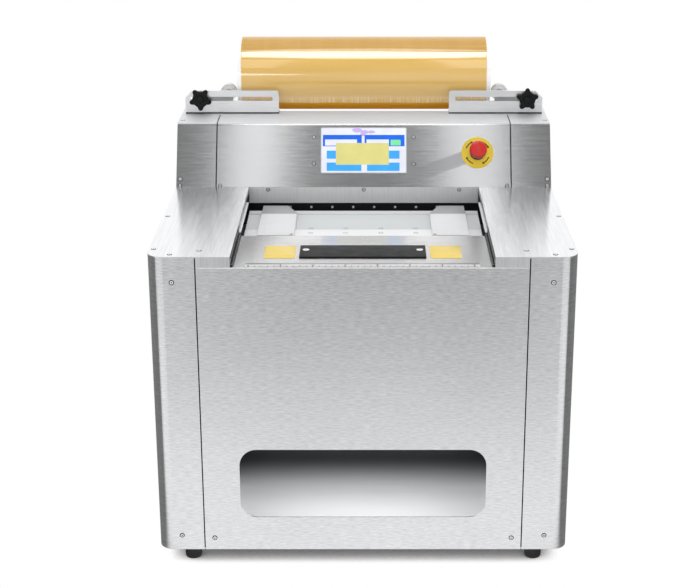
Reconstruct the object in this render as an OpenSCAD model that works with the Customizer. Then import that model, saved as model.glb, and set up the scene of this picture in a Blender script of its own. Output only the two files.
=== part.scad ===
// Table-top film wrapping machine with a lift bed, a slanted console and a film roll on top.
// Millimetres, +Z up, +X to the operator's right, the front face looks along -Y.
// The origin lies on the floor under the middle of the cabinet.

/* [Cabinet] */
// Width of the cabinet over its side covers
body_w = 667; // [650:1:700]
// Depth of the cabinet from its front face to its rear face
body_d = 700; // [695:1:740]
// Height of the cabinet from its bottom edge to the deck
cabinet_h = 502; // [495:1:560]
// Radius of the upright corners
corner_r = 25; // [18:1:34]
// Thickness of covers and panels
sheet_t = 1.5; // [1:0.1:2]
// Thickness of the deck sheets
deck_t = 2; // [1.5:0.1:3]
// Width of the front and rear panels
panel_w = 515; // [508:1:520]
// Width of the seam beside a panel
seam_w = 1.8; // [1:0.1:3]
// Depth of the folded edges beside the seams
fold_edge = 14; // [8:1:20]
// Thickness of the base plate
base_t = 3; // [2:0.5:5]
// Diameter of the round bead along the front panel's top edge
bead_d = 2.8; // [2:0.1:3]

/* [Feet] */
// Height of the rubber feet
foot_h = 30; // [22:1:40]
// Diameter of a foot at its top
foot_d = 31; // [26:1:38]
// Diameter of a foot at its bottom
foot_tip_d = 27; // [20:1:30]
// Rounding of a foot's lower edge
foot_round = 3; // [1:0.5:5]
// Distance of a foot's centre from the side
foot_inset_x = 52; // [45:1:60]
// Distance of a foot's centre from the front or rear face
foot_inset_y = 36; // [32:1:50]

/* [Deck and front table] */
// Width of the bay between the two decks
bay_w = 408.8; // [406:0.2:414]
// Depth from the front face to the foot of the console
deck_depth = 410; // [405:1:420]
// Depth of the table's top below the deck
table_drop = 17.3; // [15:0.1:20]
// Thickness of the table
table_t = 3; // [2:0.5:4]
// Width of the front table
table_w = 400; // [396:1:402]
// Depth of the front table's rear edge behind the front face
table_depth = 169; // [160:1:170]
// Width of the black sealing strip
strip_w = 200; // [180:1:220]
// Depth of the black sealing strip
strip_d = 61.5; // [50:0.5:66]
// Distance of the sealing strip from the front face
strip_front = 48.7; // [40:0.1:52]
// Thickness of the sealing strip
strip_t = 2.5; // [1.5:0.5:4]
// Width of a yellow plate
plate_w = 49.5; // [40:0.5:55]
// Depth of a yellow plate
plate_d = 65; // [50:1:70]
// Thickness of a yellow plate
plate_t = 0.4; // [0.2:0.1:1]
// Gap between the sealing strip and a yellow plate
plate_gap = 6.5; // [5:0.5:12]
// Length of the ruler
ruler_w = 364; // [355:1:380]
// Depth of the ruler
ruler_d = 18; // [12:1:20]
// Thickness of the ruler
ruler_t = 0.5; // [0.3:0.1:1]
// Thickness of the heater under the strip
heater_t = 16; // [10:1:25]

/* [Front window] */
// Width of the window in the front panel
window_w = 396.8; // [380:1:404]
// Height of the window
window_h = 119.5; // [100:1:130]
// Radius of the window's corners
window_r = 27.5; // [20:0.5:35]
// Distance of the window's top edge below the deck
window_drop = 324; // [310:1:330]
// Depth of the pocket behind the window
pocket_d = 218; // [160:1:220]
// Radius of the pocket's swept floor
pocket_r = 104; // [80:1:110]

/* [Console] */
// Height of the console above the deck
console_h = 103; // [100:1:110]
// Rearward run of the slanted face
console_run = 57.5; // [50:0.5:62]
// Depth of the console from its foot to its rear wall
console_d = 157; // [155:1:162]
// Width of the console's middle cover
console_w = 523.4; // [522:0.2:524]
// Radius of the bend between face and top
console_bend = 8; // [4:1:12]
// Depth of the end caps from the console's foot
cap_d = 265; // [255:1:266]
// Height of the apron under the console
apron_h = 29.3; // [25:0.1:30]
// Width of the touch screen
screen_w = 154; // [140:1:160]
// Height of the touch screen
screen_h = 85; // [80:1:90]
// Distance of the screen's centre up the face
screen_up = 67.2; // [60:0.2:70]
// Thickness of the screen's glass
glass_t = 1.2; // [0.8:0.1:2]
// Depth of the box behind the screen
housing_d = 30; // [20:1:32]
// Distance of the stop button from the middle
estop_x = 203; // [190:1:215]
// Distance of the stop button up the face
estop_up = 62.8; // [55:0.2:70]
// Radius of the yellow ring
estop_ring_r = 28.7; // [24:0.1:30]
// Radius of the red head
estop_head_r = 15.5; // [14:0.5:18]
// Height of the red head above the face
estop_stand = 30; // [26:1:34]
// Travel of the red head
estop_travel = 4.5; // [3:0.5:6]

/* [Film roll] */
// Radius of the film roll
roll_r = 67.15; // [60:0.05:67.5]
// Length of the film roll
roll_l = 452; // [440:1:456]
// Outer radius of the core tube
core_r = 41; // [38:0.5:44]
// Wall of the core tube
core_wall = 3; // [2:0.5:5]
// Length by which the core tube stands out at each end
core_over = 2; // [0:0.5:4]
// Overhang of the loose outer lap at each end
lap_over = 6.7; // [3:0.1:7]
// Thickness of the loose outer lap
lap_t = 0.8; // [0.6:0.1:1.5]
// Distance of the roll's axis behind the front face
roll_y = 625; // [622:1:630]
// Height of the roll's axis above the deck
roll_up = 162.9; // [160:0.1:170]
// Radius of a support wheel
wheel_r = 14; // [12:0.5:15]
// Width of a support wheel
wheel_w = 20; // [14:1:30]
// Distance of a support wheel's middle from the middle of the machine
wheel_x = 190; // [180:1:200]
// Half distance between the two support shafts
wheel_dy = 40; // [36:0.5:42]

/* [Roll stops] */
// Height of a stop bracket
bracket_h = 40; // [36:1:46]
// Distance of a bracket's inner end from the middle
bracket_in = 156; // [150:1:160]
// Distance of a bracket's outer end from the middle
bracket_out = 327; // [322:1:330]
// Thickness of a bracket
bracket_t = 3; // [2:0.5:4]
// Distance of a bracket's front behind the console's foot
bracket_y = 135; // [134:1:137]
// Thickness of the black pad under a bracket
pad_t = 2.5; // [1.5:0.5:3]
// Height of the slot's middle above the bracket's foot
slot_up = 25; // [22:0.5:28]
// Height of the slot
slot_h = 7.4; // [7:0.1:9]
// Distance of the slot's inner end from the middle
slot_in = 167.5; // [162:0.5:175]
// Distance of the slot's outer end from the middle
slot_out = 318; // [315:0.5:320]
// Distance of a knob's axis from the middle
knob_x = 299; // [290:1:302]
// Outer radius of a knob's lobes
knob_r = 20.6; // [18:0.1:24]
// Thickness of a knob
knob_t = 13; // [10:1:16]
// Distance of an idler's axis from the middle
idler_x = 252.7; // [251:0.1:256]
// Radius of an idler
idler_r = 15.5; // [12:0.5:16]
// Width of an idler
idler_w = 14; // [10:1:16]

/* [Lift] */
// Depth of the lift bed's top below the deck
bed_drop = 27; // [26:0.5:30]
// Width of the lift bed
bed_w = 397; // [390:1:398]
// Depth of the lift bed
bed_d = 171; // [160:1:174]
// Thickness of the lift bed
bed_t = 12; // [8:1:15]
// Depth of the front board of the bed
board_d = 66.7; // [50:0.1:80]
// Depth of the raised strip at the bed's rear
lip_d = 18; // [10:1:24]
// Height of the raised strip at the bed's rear
lip_h = 2.5; // [1:0.5:4]
// Travel of the lift
lift_travel = 110; // [80:1:110]
// Distance of a side guide's inner edge from the middle
guide_in = 114; // [100:1:120]
// Width of a side guide
guide_w = 61; // [50:1:64]
// Depth of a side guide
guide_d = 177; // [160:1:180]
// Height of a side guide's top above the bed
guide_h = 9.7; // [8:0.1:9.7]
// Width of the cut corner of a side guide
guide_cut_x = 17; // [10:1:25]
// Depth of the cut corner of a side guide
guide_cut_y = 45; // [30:1:60]
// Radius of the lift's guide rods
rod_r = 8; // [6:0.5:10]
// Distance of a guide rod from the middle
rod_x = 150; // [120:1:165]
// Radius of the lift's spindle
spindle_r = 6; // [5:0.5:8]

/* [Fold plates and film bar] */
// Width of a fold plate
fold_w = 118; // [110:1:120]
// Thickness of a fold plate
fold_t = 2; // [1:0.5:2]
// Travel of a fold plate
fold_travel = 100; // [80:1:100]
// Pitch of the bolts along the film bar
bolt_pitch = 37.4; // [30:0.1:45]
// Travel of the cutter
cutter_travel = 12; // [8:1:14]

/* [Hidden] */
$fn = 72;

steel = "silver";
dark_steel = "dimgray";
white_board = "whitesmoke";
black = "black";

// Shared fits
gap = 0.3;
run_gap = 0.05;
over = 1;

// Reference planes
side_x = body_w / 2;
front_y = -body_d / 2;
rear_y = body_d / 2;
deck_z = foot_h + cabinet_h;
top_edge_z = deck_z - deck_t;
base_top_z = foot_h + base_t;
panel_x = panel_w / 2;
cover_x = panel_x + seam_w;
bay_x = bay_w / 2;
console_y = front_y + deck_depth;
table_z = deck_z - table_drop;
panel_top_z = table_z;

// Inner walls
wall_t = 2;
wall_clear = 10.6;
wall_x = bay_x + wall_clear;
wall_end = 4;
pass_drop = 10;
pass_margin = 3;
pass_front = front_y + table_depth + pass_margin;
pass_rear = console_y - pass_margin;

// Screws
screw_head_r = 3.3;
screw_head_h = 1.2;
screw_shank_r = 2;
screw_shank_l = 6;
small_head_r = 2.4;
small_shank_r = 1.4;
strip_head_r = 5.4;
strip_head_h = 0.8;
flush_r = 3;
flush_h = 3;

// Front table
table_front = front_y + bead_d + gap;
rail_leg = 2;
rail_reach = 12;
rail_drop = 30;
rail_margin = 5;
rail_front = table_front + rail_margin;
rail_rear = front_y + table_depth - rail_margin;
heater_margin = 4;
strip_screw_in = 9.7;
strip_screw_back = 5;
strip_screw_x = strip_w / 2 - strip_screw_in;
strip_screw_y = front_y + strip_front + strip_d / 2 + strip_screw_back;

// Yellow plates and ruler
plate_x = strip_w / 2 + plate_gap;
plate_ahead = 1;
plate_front = front_y + strip_front - plate_ahead;
ruler_back = 0.7;
ruler_front = table_front + ruler_back;

// Window and pocket
window_top_z = deck_z - window_drop;
window_mid_z = window_top_z - window_h / 2;
pocket_lip = 4;
pocket_roof = 8;

// Screw places on covers and panels
cover_screw_share = 0.485;
cover_screw_x = cover_x + cover_screw_share * (side_x - cover_x);
cover_screw_top = 41.3;
cover_screw_low = 25.5;
panel_screw_x = 242;
panel_screw_low = 21;
deck_screw_edge = 7.2;
deck_screw_mid = 225.3;
deck_screw_front = 42;
deck_screw_b_share = 0.725;
deck_screw_b_y = 13.6;
deck_screw_c_share = 0.39;
deck_screw_c_y = 33;

// Console
face_angle = atan(console_run / console_h);
face_len = norm([console_run, console_h]);
face_shift = sheet_t / cos(face_angle);
bend_back = console_bend * tan((90 - face_angle) / 2);
console_rear = console_y + console_d;
cap_x = console_w / 2 + seam_w;
cap_rear = console_y + cap_d;
console_top_z = deck_z + console_h;
housing_edge = 4;
screen_screw_out = 12;
screen_screw_x = screen_w / 2 + screen_screw_out;
screen_screw_dz = 24.5;
cap_screw_edge = 6.8;
cap_screw_up = 14.7;
cap_screw_back = 24;
foot_screw_up = 2.6;
foot_screw_in = 6.4;
foot_shank_l = 2;
slit_h = 14;
slit_w = 384;
slit_up = 75;
slit_z = deck_z + slit_up;
apron_screw_x = 170;
apron_screw_drop = 4.6;

// Top plate
film_gate_w = 384;
film_gate_back = 24;
film_gate_front = console_y + film_gate_back;
film_gate_d = 44;
cable_hole_r = 12;
cable_hole_x = 225;
cable_hole_back = 90;
cable_hole_y = console_y + cable_hole_back;

// Stop button
estop_ring_t = 1.5;
estop_hole_r = 11.2;
estop_collar_r = 13.5;
estop_collar_t = 7;
estop_stem_r = 6;
estop_head_t = 13;
estop_neck_r = 11;
estop_block_s = 30;
estop_block_l = 38;
estop_round = 2.5;
estop_cap_t = 4;

// Film roll
roll_cy = front_y + roll_y;
roll_z = deck_z + roll_up;
lap_start = 135;
lap_end = 224;
support_sum = roll_r + wheel_r + gap;
support_dz = sqrt(support_sum * support_sum - wheel_dy * wheel_dy);
support_z = roll_z - support_dz;
shaft_r = 5;
stand_t = 3;
stand_clear = 12;
stand_x = roll_l / 2 + stand_clear;
stand_foot = 16;
stand_edge = 12;
collar_t = 2.5;
collar_r = 8;

// Feed rollers inside the console
feed_r = 15;
pinch_r = 12;
feed_back = 125;
feed_up = 58;
feed_y = console_y + feed_back;
feed_z = deck_z + feed_up;
pinch_z = feed_z + feed_r + pinch_r + gap;
feed_l = 376;
feed_wall_t = 4;
feed_wall_d = 36;
feed_end_gap = 4;
feed_wall_x = feed_l / 2 + feed_end_gap;
feed_shaft_r = 5;
feed_motor_r = 18;
feed_motor_l = 46;
feed_shaft_in = 14;

// Stops
bracket_foot_z = console_top_z + pad_t;
bracket_front = console_y + bracket_y;
bracket_cut = 13;
bracket_round = 4;
slot_z = bracket_foot_z + slot_up;
arm_t = 5;
arm_h = 17;
arm_in = 239.8;
arm_out = 312;
arm_front = bracket_front + bracket_t + gap;
stud_r = 3;
knob_front = bracket_front - gap - knob_t;
knob_lobes = 5;
knob_lobe_r = 4.6;
knob_web_r = 13.6;
knob_hub_r = 7;
knob_hub_t = 3;
nut_r = 3.2;
axle_r = 4;
axle_head_r = 6.5;
axle_head_t = 2.5;
idler_ahead = 22;
idler_front = roll_cy - idler_ahead;
idler_hub_r = 8;
idler_hub_t = 1.5;
bracket_screw_span = 110;

// Lift
bed_clear = 3;
bed_front = front_y + table_depth + bed_clear;
board_seam = 0.6;
bed_rear = bed_front + bed_d;
bed_z = deck_z - bed_drop;
bed_low_z = bed_z - bed_t;
carrier_t = 6;
carrier_edge = 8;
carrier_z = bed_low_z - carrier_t;
rod_y = bed_front + bed_d / 2;
sleeve_r = 14;
sleeve_l = 180;
sleeve_low_z = carrier_z - sleeve_l;
rod_clear = 10;
rod_top_z = carrier_z - lift_travel - rod_clear;
sleeve_clear = 5;
beam_top_z = sleeve_low_z - lift_travel - sleeve_clear;
beam_t = 12;
beam_d = 46;
nut_outer_r = 13;
nut_tube_r = 9;
nut_l = 20;
spindle_low = 28;
motor_s = 57;
motor_l = 76;
lift_screw_in = 29.5;
lift_screw_out = 88;
lift_screw_ahead = 20.5;
lift_screw_behind = 5.5;
guide_clear = gap;
guide_back = 2;
guide_front = bed_front + guide_back;

// Fold plates
fold_drop = 1;
fold_z = deck_z - deck_t - fold_drop - fold_t;
fold_end_front = 4;
fold_end_rear = 3;
fold_front = pass_front + fold_end_front;
fold_rear = pass_rear - fold_end_rear;
fold_show = 1;
fold_in = bay_x - fold_show;
fold_rail_d = 8;

// Film bar and cutter
film_bar_back = 3;
film_bar_y = console_y + film_bar_back;
film_bar_t = 9;
film_bar_h = 26;
film_bar_drop = 31;
film_bolt_drop = 37.4;
film_bolt_r = 2.2;
film_tray_gap = 11;
film_tray_front = bed_rear + film_tray_gap;
film_tray_t = 2;
film_tray_drop = 50;
cutter_t = 3;
cutter_h = 26;
cutter_w = 380;
cutter_drop = 34;
cutter_gap = 2;
cutter_y = film_bar_y + film_bar_t + cutter_gap;
cutter_rod_r = 3;
cutter_rod_l = 20;
coil_w = 30;
coil_d = 24;
coil_h = 40;
coil_gap = 6;
coil_bar_h = 10;

// Rear services
vent_w = 60;
vent_h = 4;
vent_pitch = 12;
vent_rows = 7;
vent_x = 120;
vent_up = 330;
vent_z = foot_h + vent_up;
inlet_x = 150;
inlet_up = 60;
inlet_z = foot_h + inlet_up;
inlet_w = 28;
inlet_h = 22;
inlet_l = 24;
inlet_flange = 10;
inlet_wall = 3;
pin_pitch = 7;
pin_rise = 3;
pin_r = 1.5;
pin_back = 4;
rocker_gap = 52;
rocker_x = inlet_x - rocker_gap;
rocker_w = 13;
rocker_h = 19;
rocker_r = 6;
rocker_frame = 4;
rocker_depth = 16;
rocker_back = 7;
rocker_rise = 6.5;
rocker_swing = 2.2;
box_w = 150;
box_d = 180;
box_h = 120;
box_x = 40;
box_back = 80;
box_y = rear_y - box_back - box_d;

// Rounded rectangle around the origin
module rounded_rect(w, d, r) {
  square([w - 2 * r, d], center = true);
  square([w, d - 2 * r], center = true);
  for (sx = [-1, 1]) {
    for (sy = [-1, 1]) {
      translate([sx * (w / 2 - r), sy * (d / 2 - r)]) circle(r);
    }
  }
}

// Plan outline of the cabinet, drawn in by an inset
module cabinet_outline(inset) {
  rounded_rect(body_w - 2 * inset, body_d - 2 * inset, corner_r - inset);
}

// Block between two corners
module block(x0, x1, y0, y1, z0, z1) {
  translate([x0, y0, z0]) cube([x1 - x0, y1 - y0, z1 - z0]);
}

// Both sides of a piece drawn on the right
module both_sides() {
  children();
  mirror([1, 0, 0]) children();
}

// Profile in the YZ plane, pushed along X from x0 to x1
module along_x(x0, x1) {
  translate([x0, 0, 0]) rotate([90, 0, 90]) linear_extrude(x1 - x0) children();
}

// Cylinder along X from x0 to x1
module rod_x_axis(x0, x1, y, z, r) {
  translate([x0, y, z]) rotate([0, 90, 0]) cylinder(h = x1 - x0, r = r);
}

// Cylinder along Y from y0 to y1
module rod_y_axis(x, y0, y1, z, r) {
  translate([x, y0, z]) rotate([-90, 0, 0]) cylinder(h = y1 - y0, r = r);
}

// Frame of the slanted face: X across, Z up the face, -Y out of it
module on_face(x, up) {
  translate([x, console_y, deck_z]) rotate([-face_angle, 0, 0]) translate([0, 0, up]) children();
}

// Screw whose head stands along +Z on z = 0
module screw(head_r, head_h, shank_r, shank_l) {
  rotate_extrude() {
    square([head_r, head_h / 2]);
    square([head_r - head_h / 2, head_h]);
    intersection() {
      translate([head_r - head_h / 2, head_h / 2]) circle(head_h / 2, $fn = 24);
      square([head_r, head_h]);
    }
    translate([0, -shank_l]) square([shank_r, shank_l + head_h / 2]);
  }
}

// Screw hole around a shank, along Z
module shank_hole(shank_r) {
  translate([0, 0, -screw_shank_l - over]) cylinder(h = screw_shank_l + 2 * over, r = shank_r + gap);
}

// Places of the cover and panel screws on the front or the rear face
module face_screw_places() {
  for (sy = [-1, 1]) {
    for (sx = [-1, 1]) {
      translate([sx * cover_screw_x, sy * body_d / 2, deck_z - cover_screw_top])
        rotate([-sy * 90, 0, 0]) children();
      translate([sx * cover_screw_x, sy * body_d / 2, foot_h + cover_screw_low])
        rotate([-sy * 90, 0, 0]) children();
      translate([sx * panel_screw_x, sy * body_d / 2, foot_h + panel_screw_low])
        rotate([-sy * 90, 0, 0]) children();
    }
  }
}

// Places of the deck screws
module deck_screw_places() {
  for (sx = [-1, 1]) {
    translate([sx * (side_x - deck_screw_edge), front_y + deck_screw_mid, deck_z]) children();
    translate([sx * (side_x - deck_screw_edge), front_y + deck_screw_front, deck_z]) children();
    translate([sx * (bay_x + deck_screw_b_share * (side_x - bay_x)), front_y + deck_screw_b_y, deck_z])
      children();
    translate([sx * (bay_x + deck_screw_c_share * (side_x - bay_x)), front_y + deck_screw_c_y, deck_z])
      children();
  }
}

// Places of the screws in the console's end caps
module cap_screw_places() {
  for (sx = [-1, 1]) {
    on_face(sx * (side_x - cap_screw_edge), cap_screw_up) rotate([90, 0, 0]) children();
    translate([sx * (side_x - cap_screw_edge), console_y + console_run + cap_screw_back, console_top_z])
      children();
  }
}

// Places of the small screws along the console's foot
module foot_screw_places() {
  for (sx = [-1, 1]) {
    on_face(sx * (side_x - cap_screw_edge), foot_screw_up) rotate([90, 0, 0]) children();
    on_face(sx * (console_w / 2 - foot_screw_in), foot_screw_up) rotate([90, 0, 0]) children();
  }
}

// Places of the screws beside the screen
module screen_screw_places() {
  for (sx = [-1, 1]) {
    for (sz = [-1, 1]) {
      on_face(sx * screen_screw_x, screen_up + sz * screen_screw_dz) rotate([90, 0, 0]) children();
    }
  }
}

// Places of the apron's screws
module apron_screw_places() {
  for (sx = [-1, 0, 1]) {
    translate([sx * apron_screw_x, console_y, deck_z - apron_screw_drop]) rotate([90, 0, 0]) children();
  }
}

// Places of the bolts along the film bar
module film_bolt_places() {
  for (k = [-5 : 4]) {
    translate([(k + 0.5) * bolt_pitch, film_bar_y, deck_z - film_bolt_drop]) rotate([90, 0, 0]) children();
  }
}

// Cabinet shell

module base_plate() {
  color(steel) translate([0, 0, foot_h]) linear_extrude(base_t) cabinet_outline(sheet_t);
}

module inner_walls() {
  color(steel) both_sides() along_x(wall_x, wall_x + wall_t) {
    translate([front_y + wall_end, base_top_z])
      square([body_d - 2 * wall_end, deck_z - pass_drop - base_top_z]);
    translate([front_y + wall_end, base_top_z])
      square([pass_front - front_y - wall_end, top_edge_z - base_top_z]);
    translate([pass_rear, base_top_z])
      square([rear_y - wall_end - pass_rear, top_edge_z - base_top_z]);
  }
}

module side_cover(sx) {
  color(steel) difference() {
    union() {
      translate([0, 0, foot_h]) linear_extrude(top_edge_z - foot_h) intersection() {
        difference() {
          cabinet_outline(0);
          cabinet_outline(sheet_t);
        }
        translate([sx > 0 ? cover_x : -side_x - over, -body_d])
          square([side_x - cover_x + over, 2 * body_d]);
      }
      for (sy = [-1, 1]) {
        fold_x = sx > 0 ? cover_x : -cover_x - sheet_t;
        fold_y = sy > 0 ? rear_y - sheet_t - fold_edge : front_y + sheet_t;
        translate([fold_x, fold_y, base_top_z]) cube([sheet_t, fold_edge, top_edge_z - base_top_z]);
      }
    }
    face_screw_places() shank_hole(screw_shank_r);
  }
}

module left_side_cover() { side_cover(-1); }

module right_side_cover() { side_cover(1); }

module front_panel() {
  color(steel) difference() {
    union() {
      block(-panel_x, panel_x, front_y, front_y + sheet_t, foot_h, panel_top_z - bead_d / 2);
      rod_x_axis(-panel_x, panel_x, front_y + bead_d / 2, panel_top_z - bead_d / 2, bead_d / 2);
      for (sx = [-1, 1]) {
        translate([sx > 0 ? panel_x - sheet_t : -panel_x, front_y + sheet_t, base_top_z])
          cube([sheet_t, fold_edge, panel_top_z - bead_d - base_top_z]);
      }
    }
    translate([0, front_y - over, window_mid_z]) rotate([-90, 0, 0])
      linear_extrude(sheet_t + 2 * over) rounded_rect(window_w, window_h, window_r);
    face_screw_places() shank_hole(screw_shank_r);
  }
}

// Outline of one vent
module vent_slot() {
  square([vent_w - vent_h, vent_h], center = true);
  for (sx = [-1, 1]) {
    translate([sx * (vent_w - vent_h) / 2, 0]) circle(vent_h / 2);
  }
}

module rear_panel() {
  color(steel) difference() {
    union() {
      block(-panel_x, panel_x, rear_y - sheet_t, rear_y, foot_h, top_edge_z);
      for (sx = [-1, 1]) {
        translate([sx > 0 ? panel_x - sheet_t : -panel_x, rear_y - sheet_t - fold_edge, base_top_z])
          cube([sheet_t, fold_edge, top_edge_z - base_top_z]);
      }
    }
    face_screw_places() shank_hole(screw_shank_r);
    for (sx = [-1, 1]) {
      for (k = [0 : vent_rows - 1]) {
        translate([sx * vent_x, rear_y - sheet_t - over, vent_z + k * vent_pitch]) rotate([-90, 0, 0])
          linear_extrude(sheet_t + 2 * over) vent_slot();
      }
    }
    block(inlet_x - inlet_w / 2, inlet_x + inlet_w / 2, rear_y - sheet_t - over, rear_y + over,
      inlet_z - inlet_h / 2, inlet_z + inlet_h / 2);
    block(rocker_x - rocker_w / 2 - rocker_frame / 2, rocker_x + rocker_w / 2 + rocker_frame / 2,
      rear_y - sheet_t - over, rear_y + over,
      inlet_z - rocker_h / 2 - rocker_frame / 2, inlet_z + rocker_h / 2 + rocker_frame / 2);
  }
}

// Side outline of the pocket behind the window, drawn in by an inset
module pocket_outline(inset) {
  y0 = front_y + sheet_t;
  z0 = window_top_z - window_h - pocket_lip + inset;
  z1 = window_top_z + pocket_roof - inset;
  y1 = y0 + pocket_d - inset;
  r = pocket_r - inset;
  front = inset > 0 ? over : 0;
  translate([y0 - front, z0]) square([y1 - r - y0 + front, z1 - z0]);
  translate([y1 - r - over, z0 + r]) square([r + over, z1 - z0 - r]);
  intersection() {
    translate([y1 - r, z0 + r]) circle(r, $fn = 144);
    translate([y1 - r - over, z0]) square([r + over, z1 - z0]);
  }
}

module front_pocket() {
  color(steel) difference() {
    along_x(-wall_x, wall_x) pocket_outline(0);
    along_x(-wall_x + sheet_t, wall_x - sheet_t) pocket_outline(sheet_t);
  }
}

module deck(sx) {
  flange_x = sx > 0 ? bay_x : -bay_x - sheet_t;
  fascia_x = sx > 0 ? bay_x : -panel_x;
  color(steel) difference() {
    union() {
      translate([0, 0, top_edge_z]) linear_extrude(deck_t) intersection() {
        cabinet_outline(0);
        translate([sx > 0 ? bay_x : -side_x, front_y]) square([side_x - bay_x, deck_depth + sheet_t - gap]);
      }
      block(fascia_x, fascia_x + panel_x - bay_x, front_y, front_y + sheet_t, panel_top_z + gap,
        deck_z - deck_t / 2);
      block(flange_x, flange_x + sheet_t, table_front, pass_front, panel_top_z - table_t + gap,
        deck_z - deck_t / 2);
    }
    deck_screw_places() shank_hole(screw_shank_r);
  }
}

module left_deck() { deck(-1); }

module right_deck() { deck(1); }

module top_plate() {
  front = console_y + sheet_t;
  color(steel) difference() {
    translate([0, 0, top_edge_z]) linear_extrude(deck_t) intersection() {
      cabinet_outline(0);
      translate([-side_x, front]) square([body_w, rear_y - front]);
    }
    block(-film_gate_w / 2, film_gate_w / 2, film_gate_front, film_gate_front + film_gate_d,
      top_edge_z - over, deck_z + over);
    for (sx = [-1, 1]) {
      translate([sx * cable_hole_x, cable_hole_y,
        top_edge_z - over]) cylinder(h = deck_t + 2 * over, r = cable_hole_r);
    }
  }
}

module feet() {
  tip_r = foot_tip_d / 2;
  color(black) for (sx = [-1, 1]) {
    for (sy = [-1, 1]) {
      translate([sx * (side_x - foot_inset_x), sy * (body_d / 2 - foot_inset_y), 0]) rotate_extrude() {
        polygon([[0, 0], [tip_r - foot_round, 0], [tip_r, foot_round], [foot_d / 2, foot_h], [0, foot_h]]);
        intersection() {
          translate([tip_r - foot_round, foot_round]) circle(foot_round, $fn = 32);
          square([foot_d, foot_round]);
        }
      }
    }
  }
}

module screws() {
  color("lightgray") {
    face_screw_places() screw(screw_head_r, screw_head_h, screw_shank_r, screw_shank_l);
    deck_screw_places() screw(screw_head_r, screw_head_h, screw_shank_r, screw_shank_l);
    cap_screw_places() screw(screw_head_r, screw_head_h, screw_shank_r, screw_shank_l);
    foot_screw_places() screw(small_head_r, screw_head_h, small_shank_r, foot_shank_l);
    screen_screw_places() screw(small_head_r, screw_head_h, small_shank_r, screw_shank_l);
    apron_screw_places() screw(small_head_r, screw_head_h, small_shank_r, screw_shank_l);
    film_bolt_places() screw(film_bolt_r, screw_head_h, small_shank_r, screw_shank_l);
    bracket_screw_places() screw(screw_head_r, screw_head_h, screw_shank_r, screw_shank_l);
    for (sx = [-1, 1]) {
      translate([sx * strip_screw_x, strip_screw_y, table_z + strip_t])
        screw(strip_head_r, strip_head_h, screw_shank_r, screw_shank_l);
    }
  }
}

// Front table and heater

module front_table() {
  color(steel) difference() {
    block(-table_w / 2, table_w / 2, table_front, front_y + table_depth, table_z - table_t, table_z);
    for (sx = [-1, 1]) {
      translate([sx * strip_screw_x, strip_screw_y, table_z]) shank_hole(screw_shank_r);
    }
  }
}

module table_rails() {
  color(steel) both_sides() {
    block(table_w / 2 - rail_reach, wall_x, rail_front, rail_rear,
      table_z - table_t - rail_leg, table_z - table_t);
    block(wall_x - rail_leg, wall_x, rail_front, rail_rear,
      table_z - table_t - rail_drop, table_z - table_t);
  }
}

module heater_strip() {
  color(black) difference() {
    block(-strip_w / 2, strip_w / 2, front_y + strip_front, front_y + strip_front + strip_d,
      table_z, table_z + strip_t);
    for (sx = [-1, 1]) {
      translate([sx * strip_screw_x, strip_screw_y, table_z + strip_t]) shank_hole(screw_shank_r);
    }
  }
}

module heater_block() {
  low = table_z - table_t - heater_t;
  color(dark_steel) difference() {
    block(-strip_w / 2 + heater_margin, strip_w / 2 - heater_margin, front_y + strip_front + heater_margin,
      front_y + strip_front + strip_d - heater_margin, low, table_z - table_t);
    for (sx = [-1, 1]) {
      translate([sx * strip_screw_x, strip_screw_y, table_z - table_t]) shank_hole(screw_shank_r);
    }
  }
}

module table_labels() {
  color("gold") both_sides()
    block(plate_x, plate_x + plate_w, plate_front, plate_front + plate_d, table_z, table_z + plate_t);
}

module ruler_plate() {
  color("lightgray")
    block(-ruler_w / 2, ruler_w / 2, ruler_front, ruler_front + ruler_d, table_z, table_z + ruler_t);
}

// Console

// What the bend between face and top leaves outside an arc around its centre
module bend_waste(r) {
  half = (90 - face_angle) / 2;
  reach = r + over;
  translate([console_run + bend_back, console_h - console_bend]) difference() {
    polygon([
      [0, 0],
      [-reach * cos(face_angle), reach * sin(face_angle)],
      [-reach * sin(half) / cos(half), reach],
      [0, reach]
    ]);
    circle(r);
  }
}

// Side outline of the console from its foot to a rear depth
module console_outline(depth) {
  difference() {
    polygon([[0, 0], [console_run, console_h], [depth, console_h], [depth, 0]]);
    bend_waste(console_bend);
  }
}

// Inner side outline of the console, one sheet thickness in and open below
module console_hollow(depth) {
  difference() {
    polygon([
      [face_shift - over * tan(face_angle), -over],
      [face_shift + (console_h - sheet_t) * tan(face_angle), console_h - sheet_t],
      [depth - sheet_t, console_h - sheet_t],
      [depth - sheet_t, -over]
    ]);
    bend_waste(console_bend - sheet_t);
  }
}

module console_cover() {
  color(steel) difference() {
    translate([0, console_y, deck_z]) difference() {
      along_x(-console_w / 2, console_w / 2) console_outline(console_d);
      along_x(-console_w / 2 - over, console_w / 2 + over) console_hollow(console_d);
    }
    on_face(0, screen_up) translate([0, -over, 0])
      block(-screen_w / 2 + housing_edge - gap, screen_w / 2 - housing_edge + gap, 0, sheet_t + 2 * over,
        -screen_h / 2 + housing_edge - gap, screen_h / 2 - housing_edge + gap);
    on_face(estop_x, estop_up) rod_y_axis(0, -over, sheet_t + over, 0, estop_hole_r);
    block(-slit_w / 2, slit_w / 2, console_rear - sheet_t - over, console_rear + over,
      slit_z - slit_h / 2, slit_z + slit_h / 2);
    screen_screw_places() shank_hole(small_shank_r);
    foot_screw_places() shank_hole(small_shank_r);
    bracket_screw_places() shank_hole(screw_shank_r);
  }
}

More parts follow.
